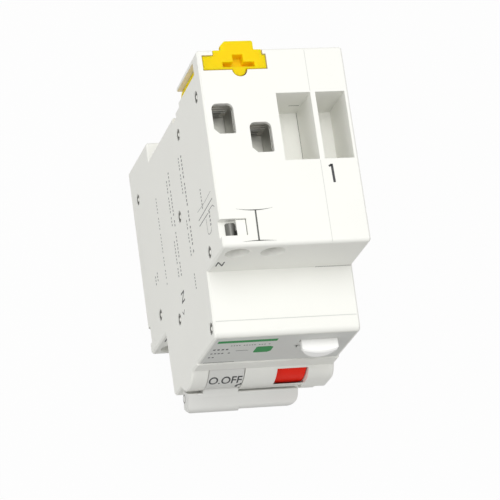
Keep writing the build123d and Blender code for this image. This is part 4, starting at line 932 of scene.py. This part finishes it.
def make_ring_winding():
    """Secondary winding: loops of enamelled wire round a stretch of the ring core."""
    low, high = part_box("toroid_core")
    wound_low, wound_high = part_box("toroid_winding")
    middle = (low + high) / 2
    wire = 0.2
    outer = (high.z - low.z) / 2
    bore = 5.4 * MM
    proud = (wound_high.x - wound_low.x - (high.x - low.x)) / 2 - wire * MM
    half_sweep = math.radians(27)
    piece = grown(RING_WINDING, "ring_turns", {
        "Ring Radius": (outer + bore) / 2, "Loop Width": high.x - low.x + 2 * wire * MM + proud,
        "Loop Height": outer - bore + 2 * wire * MM + proud,
        "Start": -half_sweep, "Sweep": 2 * half_sweep, "Loops": 16, "Wire": wire * MM,
        "Finish": ENAMEL})
    upright = Matrix.Rotation(QUARTER, 4, "Z") @ Matrix.Rotation(QUARTER, 4, "X")
    piece.data.transform(Matrix.Translation(middle) @ upright)
    smooth_by_angle(piece, 60)
    finish_piece(piece, "case", "enamelled_copper", "toroid_winding")


def rounded_route(points, radius, steps=6):
    """Points in millimetres along straight runs whose corners are turned on an arc."""
    route = [Vector(points[0])]
    for before, corner, after in zip(points, points[1:], points[2:]):
        corner = Vector(corner)
        back = (Vector(before) - corner).normalized()
        on = (Vector(after) - corner).normalized()
        half = back.angle(on) / 2
        reach = radius / math.tan(half)
        middle = corner + (back + on).normalized() * (radius / math.sin(half))
        start = corner + back * reach - middle
        end = corner + on * reach - middle
        for i in range(steps + 1):
            spoke = start.slerp(end, i / steps)
            route.append(middle + spoke * radius / spoke.length)
    return route + [Vector(points[-1])]


def round_wire(name, route, radius, finish):
    """A round wire of one radius along a route, both in millimetres, with closed ends."""
    curve = bpy.data.curves.new(name, "CURVE")
    curve.dimensions = "3D"
    curve.bevel_depth = radius * MM
    curve.bevel_resolution = 3
    curve.use_fill_caps = True
    run = curve.splines.new("POLY")
    run.points.add(len(route) - 1)
    for point, place in zip(run.points, route):
        point.co = (*(Vector(place) * MM), 1.0)
    piece = object_of(name, curve_mesh(curve), finish)
    smooth_by_angle(piece, 50)
    return piece


def make_link():
    """Bent steel wire between the toggle's crank and the contact lever."""
    low, high = (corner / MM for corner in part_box("link_wire"))
    radius = (high.z - low.z) / 2 - 0.01
    level = (high.z + low.z) / 2
    left = low.x + radius
    rear, front = high.y - radius, low.y + radius
    route = rounded_route([(high.x, rear, level), (left, rear, level), (left, front, level),
                           (high.x, front, level)], 1.0)
    piece = round_wire("bent_link", route, radius, WIRE)
    finish_piece(piece, "link_body", "spring_steel", "link_wire")


def make_braid():
    """Flat plait of fine copper strands from the contact lever to the bimetal."""
    low, high = (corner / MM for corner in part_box("braid"))
    middle = (low.x + high.x) / 2
    floor = low.z + 0.45
    corners = [(middle, high.y - 0.3, high.z - 0.3), (middle, high.y - 3.2, floor),
               (middle, low.y, floor)]
    line = rounded_route(corners, 3.0, 12)
    steps = 10
    fine = [a.lerp(b, i / steps) for a, b in zip(line, line[1:]) for i in range(steps)]
    fine.append(line[-1])
    count, crossings, half_wide, half_thick, wire = 9, 4, 0.95, 0.2, 0.17
    strands = []
    for i in range(count):
        route = []
        for j, place in enumerate(fine):
            turn = 2 * math.pi * (j / len(fine) * crossings + i / count)
            route.append(place + Vector((half_wide * math.cos(turn), 0,
                                         half_thick * math.sin(2 * turn))))
        strands.append(round_wire(f"strand_{i}", route[::3], wire, COPPER))
    piece = joined("plaited_lead", strands)
    finish_piece(piece, "case", "copper", "braid")


def make_solder_joints():
    """Tinned solder cones on the board, where the legs of its parts come through."""
    board_low, board_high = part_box("circuit_board")
    legs = (0.12, 0.37, 0.63, 0.88)  # places of the legs along a part, as shares of its length
    spots = []
    for node in ("board_components", "test_resistor", "trip_relay"):
        low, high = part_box(node)
        for share in legs:
            y = low.y + (high.y - low.y) * share
            for z in (low.z - 1.2 * MM, high.z + 0.9 * MM):
                if board_low.y < y < board_high.y and board_low.z < z < board_high.z:
                    spots.append((board_low.x, y, z))
    cone = turned("one_joint", [(0, 0.42), (0.16, 0.4), (0.24, 0.26), (0.38, 0.1), (0.6, 0.0),
                                (0.6, -0.05), (0, -0.05)], STEEL, 16)
    cone.data.transform(Matrix.Rotation(-QUARTER, 4, "Y"))
    piece = grown(PLACES, "solder_joints", {"Piece": cone, "Finish": STEEL}, spots)
    bpy.data.objects.remove(cone)
    smooth_by_angle(piece)
    finish_piece(piece, "case", "silver")


# ---------------------------------------------------------------- printed marks, and painted shade of moulded marks and narrow gaps
def lettering(text, height, bold, width=None):
    """Flat letters of one height in millimetres, set to a width, centred on their origin."""
    curve = bpy.data.curves.new("letters", "FONT")
    curve.body = text
    curve.size = height / CAP_SHARE
    curve.offset = bold
    curve.extrude = INK_THICK / 2
    curve.align_x = "CENTER"
    curve.align_y = "CENTER"
    mesh = curve_mesh(curve)
    if width is not None:
        spread = [vert.co.x for vert in mesh.vertices]
        mesh.transform(Matrix.Scale(width / (max(spread) - min(spread)), 4, (1, 0, 0)))
    mesh.transform(Matrix.Translation((0, 0, INK_THICK / 2)))
    return mesh


def drawn(points, widths):
    """A flat drawn line through (x, y) points in millimetres, with a width at each."""
    shape = bmesh.new()
    edges = []
    for i, (x, y) in enumerate(points):
        before = Vector(points[max(i - 1, 0)])
        after = Vector(points[min(i + 1, len(points) - 1)])
        along = (after - before).normalized()
        width = widths[i] if isinstance(widths, (list, tuple)) else widths
        side = Vector((-along.y, along.x)) * width / 2
        edges.append([shape.verts.new((x + side.x * s, y + side.y * s, h))
                      for h in (0, INK_THICK) for s in (-1, 1)])
    for a, b in zip(edges, edges[1:]):
        for p, q in ((0, 1), (1, 3), (3, 2), (2, 0)):
            shape.faces.new((a[p], a[q], b[q], b[p]))
    shape.faces.new((edges[0][0], edges[0][2], edges[0][3], edges[0][1]))
    shape.faces.new((edges[-1][0], edges[-1][1], edges[-1][3], edges[-1][2]))
    return outward_mesh("drawn line", shape)


def bar(left, right, low, high):
    """A flat printed bar between two widths and two heights, in millimetres."""
    middle = (low + high) / 2
    return drawn([(left, middle), (right, middle)], high - low)


def marks(name, body, slot, ink, drawings):
    """One object for all the (mesh, frame) drawings that share an ink and a body."""
    pieces = []
    for mesh, stand in drawings:
        mesh.transform(stand)
        pieces.append(object_of(name + "_part", mesh, ink))
    finish_piece(joined(name, pieces), body, slot)


def wrapped_on_drum(mesh, middle_x, angle):
    """Bends flat letters round the toggle drum; angle 0 faces straight forward."""
    shape = bmesh.new()
    shape.from_mesh(mesh)
    strip = 0.3  # height of the flat strips that the bend is made of
    for i in range(-7, 8):
        everything = shape.verts[:] + shape.edges[:] + shape.faces[:]
        bmesh.ops.bisect_plane(shape, geom=everything, plane_co=(0, i * strip, 0),
                               plane_no=(0, 1, 0))
    axis = Vector(JOINTS["toggle_hinge"]["pos_m"])
    for vert in shape.verts:
        reach = (DRUM_RADIUS + vert.co.z) * MM
        turn = math.radians(angle) + vert.co.y / DRUM_RADIUS
        vert.co = Vector((middle_x * MM + vert.co.x * MM,
                          axis.y - reach * math.cos(turn), axis.z + reach * math.sin(turn)))
    shape.to_mesh(mesh)
    shape.free()
    return mesh


def dash_row(left, right, line, pitch, weight, seed):
    """A row of plain dashes in uneven groups, where the real case is printed."""
    dash, gap = pitch * 0.56, pitch * 0.8
    fewest, most = 3, 7
    pick = random.Random(seed)
    dashes = []
    start = left
    group = pick.randint(fewest, most)
    while start + pitch < right:
        dashes.append(bar(start, start + dash, line - weight / 2, line + weight / 2))
        start += pitch
        group -= 1
        if group == 0:
            start += gap
            group = pick.randint(fewest, most)
    return dashes


def make_drum_marks():
    """The plain OFF and ON words beside the handle, and a painted shadow stroke in the small slit at its root."""
    off = wrapped_on_drum(lettering("O.OFF", WORD_HEIGHT, 0.05, 8.3), DRUM_MIDDLE, 19)
    on = wrapped_on_drum(lettering("I.ON", WORD_HEIGHT, 0.05, 6.2), DRUM_MIDDLE, -49)
    # Painted shade: a dark stroke for the shadow in the small slit at the handle's root.
    hook = drawn([(4.3, 1.3), (4.2, 0.6), (3.5, 0.2), (3.3, -0.4), (3.5, -1.1)],
                 [0.2, 0.65, 0.65, 0.7, 0.4])
    slit = wrapped_on_drum(hook, DRUM_MIDDLE, 3.5)
    still = Matrix.Identity(4)
    marks("switch_words", "toggle_body", "toggle_plastic", INK_DARK,
          [(off, still), (on, still), (slit, still)])


def make_handle_dimple():
    """Painted shadow ring round the shallow ejector mark in the left end of the handle."""
    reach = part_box("toggle")[0].x / MM
    end = face_frame(at(reach, 64.1, -15.2), (0, -1, 0), (0, 0, 1))
    radius, steps = 1.0, 24
    angles = [2 * math.pi * i / steps for i in range(steps + 1)]
    ring = [(radius * math.cos(a), radius * math.sin(a)) for a in angles]
    marks("handle_dimple", "toggle_body", "toggle_plastic", INK_LINE,
          [(drawn(ring, 0.22), end)])


def moved(x, y):
    """Shifts a drawing on its face, in millimetres."""
    return Matrix.Translation((x, y, 0))


def make_end_marks():
    """Terminal numbers on both ends, N on the shoulders and T beside the button."""
    top = end_face(1)
    low = end_face(-1)
    shoulder = front_face(SHOULDER_DEPTH)
    label = front_face(LABEL_DEPTH)
    left = left_face(-SIDE_X)
    drawings = [
        # The 1 is a sunk moulded numeral: its two dark strokes are painted shade of its sunk edges.
        (drawn([(10.35, -25.5), (11.1, -25.1)], 0.5), top),
        (drawn([(11.1, -24.95), (11.2, -29.6)], 0.6), top),
        (lettering("2", 4.5, 0.05, 2.4), low @ moved(11.2, 27.4)),
        (lettering("N", 2.8, 0.05, 1.8), shoulder @ moved(-16.05, 28.0)),
        (lettering("N", 2.8, 0.05, 1.8), shoulder @ moved(-16.05, -28.0)),
        (lettering("T", 1.6, 0.03), label @ moved(4.5, 12.3)),
        (lettering("N", 3.2, 0.02, 2.6), left @ moved(42.2, -1.9)),
        (drawn([(45.4, -3.9), (46.3, -2.9), (45.4, -1.9)], 0.3), left),
    ]
    marks("terminal_marks", "case", "relay_plastic", INK_DARK, drawings)


def taper(points, thick):
    """Widths that fade out towards both ends of a line."""
    last = len(points) - 1
    return [thick * (1 - abs(2 * i / last - 1)) + 0.02 for i in range(last + 1)]


def make_gap_shadows():
    """Painted shadow lines in the case's narrow gaps: the terminal cover's edges, the front bezel, the notch and
    the pockets.
    """
    # Each bowed joint, painted as a shadow line that fades towards its ends: its middle, its depth there, how far
    # it bows and its half length.
    bows = ((-9.3, 35.68, 0.46, 4.5), (-9.05, 43.27, -0.17, 4.1))
    half_steps = 8
    drawings = []
    for way in (1, -1):
        end = end_face(way)
        for middle, depth, bow, reach in bows:
            arc = []
            for i in range(2 * half_steps + 1):
                share = i / half_steps - 1
                arc.append((middle + reach * share, -way * (depth - bow * share * share)))
            drawings.append((drawn(arc, taper(arc, 0.24)), end))
        drawings.append((drawn([(-9.1, -way * 35.66), (-9.2, -way * 43.3)], 0.38), end))
    wall = left_face(-14.0)
    corner = left_face(POCKET_RIGHT)
    back = front_face(POCKET_REAR)
    shoulder = front_face(SHOULDER_DEPTH)
    for way in (1, -1):
        recess = end_face(way, END_Z - 0.6)
        # Painted shadow lines in the notch's seams round the white block, then a wider painted shadow strip on the
        # notch wall beside the probe contact.
        drawings.append((drawn([(-13.9, way * -37.68), (-11.65, way * -37.68)], 0.1), recess))
        drawings.append((drawn([(-11.66, way * -37.6), (-11.66, way * -41.7)], 0.18), recess))
        drawings.append((drawn([(40.9, way * 37.9), (40.7, way * 39.1)], [1.7, 1.1]), wall))
        floor = way * (END_Z - POCKET_DEEP)
        drawings.append((drawn([(6.5, floor + way * 0.08), (23.5, floor + way * 0.08)], 0.16),
                         corner))
        drawings.append((drawn([(5.3, way * 31.5), (7.9, way * 31.5)], 0.22), back))
        seat = way * (NOSE_TOP + 0.1)
        drawings.append((drawn([(8.7, seat), (17.7, seat)], 0.14), shoulder))
    marks("cover_lines", "case", "relay_plastic", INK_LINE, drawings)


def make_faint_seams():
    """Hair-fine joint between the two shells and the parting line across the nose."""
    slope = (NOSE_TOP - NOSE_TOP_FRONT) / (NOSE_DEPTH - SHOULDER_DEPTH)
    level = NOSE_TOP - slope * (PARTING_DEPTH - SHOULDER_DEPTH)
    half_wide = SIDE_X - 0.6
    drawings = []
    for way in (1, -1):
        for rear, front in ((-4.4, 6.2), (23.8, SHOULDER_DEPTH - 0.3)):
            joint = drawn([(SHELL_JOINT_X, way * -rear), (SHELL_JOINT_X, way * -front)], 0.14)
            drawings.append((joint, end_face(way)))
        parting = way * -PARTING_DEPTH
        drawings.append((drawn([(-half_wide, parting), (half_wide, parting)], 0.2),
                         end_face(way, level)))
    marks("faint_seams", "case", "housing_plastic", INK_FAINT, drawings)


def make_side_print():
    """Plain wiring sketch and rows of dashes on the left side."""
    left = left_face(-SIDE_X)
    # Each row: its first and last depth, its height, the pitch of its dashes and their weight.
    rows = [(11.2, 37.2, 13.6, 1.05, 0.76), (10.8, 21.0, 11.0, 0.9, 0.56),
            (27.0, 37.2, 11.0, 0.9, 0.56), (10.2, 25.4, -0.2, 1.0, 0.62),
            (11.5, 25.0, -2.8, 0.9, 0.56), (25.8, 38.1, -0.4, 1.0, 0.56),
            (27.3, 38.5, -2.9, 0.9, 0.56), (11.3, 34.7, -15.1, 0.9, 0.42),
            (28.1, 31.5, -23.4, 0.9, 0.5), (28.4, 31.2, -25.6, 0.9, 0.5),
            (40.9, 45.5, 11.5, 0.85, 0.5), (25.0, 30.4, 26.7, 0.9, 0.6)]
    drawings = []
    for i, (start, end, line, pitch, weight) in enumerate(rows):
        drawings += [(mesh, left) for mesh in dash_row(start, end, line, pitch, weight, i)]
    bend = [(37.6 + 0.9 * math.sin(a) - 0.9, 30.4 - 1.9 * math.cos(a))
            for a in [math.pi * i / 10 for i in range(11)]]
    sketch = [([(28.9, 35.4), (29.3, 28.3), (29.1, 21.8)], 0.1),
              ([(30.9, 36.0), (31.3, 21.9)], 0.22), ([(32.7, 30.7), (32.7, 21.9)], 0.22),
              ([(33.3, 36.8), (32.4, 35.4), (32.4, 31.3)], 0.18),
              ([(33.3, 28.5), (36.0, 28.5)] + bend, 0.16)]
    drawings += [(drawn(points, thick), left) for points, thick in sketch]
    drawings += [(mesh, left) for mesh in dash_row(32.6, 36.8, 31.9, 1.0, 0.8, 40)]
    marks("side_print", "case", "relay_plastic", INK_GREY, drawings)


def film_half(side):
    """Half of the label film, cut round the test button's bowed opening."""
    film_low, film_high, film_side = 2.2, 21.4, 17.2
    # The opening: half its width, its top edge, and its bowed edge in the middle and at its ends.
    half, top, bottom, ends = 4.8, 17.3, 12.6, 15.77
    rise = ends - bottom
    radius = (half * half + rise * rise) / (2 * rise)
    edge = film_side - side * BUTTON_X
    steps = 8
    across = [half * i / steps for i in range(steps + 1)]
    opening = [(x, bottom + radius - math.sqrt(radius ** 2 - x ** 2)) for x in across]
    outline = [(0, film_high), (0, top), (half, top)] + opening[::-1] + [(0, film_low)]
    outline += [(edge, film_low), (edge, film_high)]
    placed = [(BUTTON_X + side * x, z) for x, z in outline]
    return outward_mesh("film half", raised(placed, INK_THICK))


def make_label():
    """Plain panel on the front: grey film, a green stripe and patch, rows of dashes."""
    label = front_face(LABEL_DEPTH)
    printed = front_face(LABEL_DEPTH + INK_THICK)
    film = [(film_half(-1), label), (film_half(1), label)]
    marks("label_film", "case", "housing_plastic", LABEL_FILM, film)
    blocks = [(bar(-16.4, -1.7, 17.6, 19.2), printed),
              (drawn([(-5.7, 11.5), (-5.4, 11.5), (-2.2, 11.5), (-1.4, 11.5)],
                     [3.6, 4.4, 4.4, 3.0]), printed)]
    marks("green_field", "case", "flag_green", INK_GREEN, blocks)
    # Each row: its left and right end, its height, the pitch of its dashes and their weight.
    rows = [(-12.5, -1.9, 15.4, 0.65, 0.36), (-16.3, -10.7, 12.8, 1.05, 0.8),
            (-16.3, -10.3, 9.9, 0.9, 0.6), (-16.2, -13.7, 7.0, 0.9, 0.6)]
    grey = []
    for i, (start, end, line, pitch, weight) in enumerate(rows):
        grey += [(mesh, printed) for mesh in dash_row(start, end, line, pitch, weight, 20 + i)]
    grey.append((bar(-10.4, -7.3, 11.3, 11.5), printed))
    grey.append((bar(-16.5, -8.8, 2.85, 3.05), printed))
    marks("rating_rules", "case", "relay_plastic", INK_DARK, grey)


# ---------------------------------------------------------------- camera, light and floor
CAMERA_PLACE = (-0.2024, -0.2725, 0.6838)
CAMERA_TURN = (20.733, -13.761, -7.884)
CAMERA_LENS = 220.3
AIM = (0, -0.03, 0)  # middle of the case, which the lamps point at
ROOM_LIGHT = 0.55  # strength of the white surroundings on the object
PAPER_WHITE = 0.97


def make_camera():
    """The camera looks down on the upper end from the left and a little from the front."""
    camera = bpy.data.cameras.new("view")
    camera.lens = CAMERA_LENS
    camera.sensor_width = 36.0
    camera.clip_start = 0.01
    holder = bpy.data.objects.new("view", camera)
    holder.location = CAMERA_PLACE
    holder.rotation_euler = [math.radians(a) for a in CAMERA_TURN]
    bpy.context.scene.collection.objects.link(holder)
    bpy.context.scene.camera = holder


def soft_box(name, place, aim, size, power):
    """A square studio lamp that points at a place."""
    lamp = bpy.data.lights.new(name, "AREA")
    lamp.shape = "SQUARE"
    lamp.size = size
    lamp.energy = power
    holder = bpy.data.objects.new(name, lamp)
    holder.location = place
    way = Vector(aim) - Vector(place)
    holder.rotation_euler = way.to_track_quat("-Z", "Y").to_euler()
    bpy.context.scene.collection.objects.link(holder)


def looked_at(tree):
    """One for a ray that comes straight from the camera, a gloss or a clear piece, else nought."""
    rays = add(tree, "ShaderNodeLightPath")
    mirrored = add(tree, "ShaderNodeMath", {
        0: rays.outputs["Is Glossy Ray"], 1: rays.outputs["Is Transmission Ray"]},
        operation="MAXIMUM")
    either = add(tree, "ShaderNodeMath", {
        0: rays.outputs["Is Camera Ray"], 1: mirrored.outputs["Value"]}, operation="MAXIMUM")
    return either.outputs["Value"]


def make_world():
    """Plain white surroundings: pure white where the camera or a gloss looks at them."""
    world = bpy.data.worlds.new("white studio")
    world.use_nodes = True
    tree = world.node_tree
    tree.nodes.clear()
    lit = add(tree, "ShaderNodeBackground", {"Color": colour("#FFFFFF"), "Strength": ROOM_LIGHT})
    white = add(tree, "ShaderNodeBackground", {"Color": colour("#FFFFFF"), "Strength": 1.0})
    both = add(tree, "ShaderNodeMixShader", {
        "Fac": looked_at(tree), 1: lit.outputs["Background"], 2: white.outputs["Background"]})
    add(tree, "ShaderNodeOutputWorld", {"Surface": both.outputs["Shader"]})
    bpy.context.scene.world = world


def floor_material():
    """White studio paper: mostly its own white to the eye, and it still keeps a shadow."""
    material, tree, _ = new_material("white_paper")
    seen = add(tree, "ShaderNodeMath", {0: looked_at(tree), 1: PAPER_WHITE},
               operation="MULTIPLY")
    paper = add(tree, "ShaderNodeBsdfDiffuse", {"Color": colour("#B4B4B2")})
    white = add(tree, "ShaderNodeEmission", {"Color": colour("#FFFFFF"), "Strength": 1.0})
    both = add(tree, "ShaderNodeMixShader", {
        "Fac": seen.outputs["Value"], 1: paper.outputs["BSDF"], 2: white.outputs["Emission"]})
    add(tree, "ShaderNodeOutputMaterial", {"Surface": both.outputs["Shader"]})
    return material


def make_floor():
    """A wide pale floor under the lower end of the case."""
    level = cad_box[0][2] - 0.1 * MM
    mesh = bpy.data.meshes.new("floor")
    reach = 3.0
    corners = [(-reach, -reach, level), (reach, -reach, level), (reach, reach, level),
               (-reach, reach, level)]
    mesh.from_pydata(corners, [], [(0, 1, 2, 3)])
    object_of("floor", mesh, floor_material())


# ---------------------------------------------------------------- the whole scene
make_camera()
dress_nodes()

for node, radius in EASED_EDGES.items():
    softened(node, radius)
for pole in POLES:
    for end in ENDS:
        softened(f"terminal_cage_{pole}_{end}", CAGE_EDGE, DULL_STEEL)
        make_serrations(pole, end)
        make_floor_leaf(pole, end)
        make_screw(pole, end)
make_rivets()
make_toggle_spring()
make_button_spring()
make_trip_coil()
make_ring_winding()
make_link()
make_braid()
make_solder_joints()
make_drum_marks()
make_handle_dimple()
make_end_marks()
make_gap_shadows()
make_faint_seams()
make_side_print()
make_label()

make_floor()
make_world()
soft_box("overhead", (-0.1, 0.05, 1.0), AIM, 0.7, 5.4)
soft_box("left", (-0.95, -0.2, 0.3), AIM, 0.8, 2.4)

bpy.context.scene.view_settings.view_transform = "Standard"
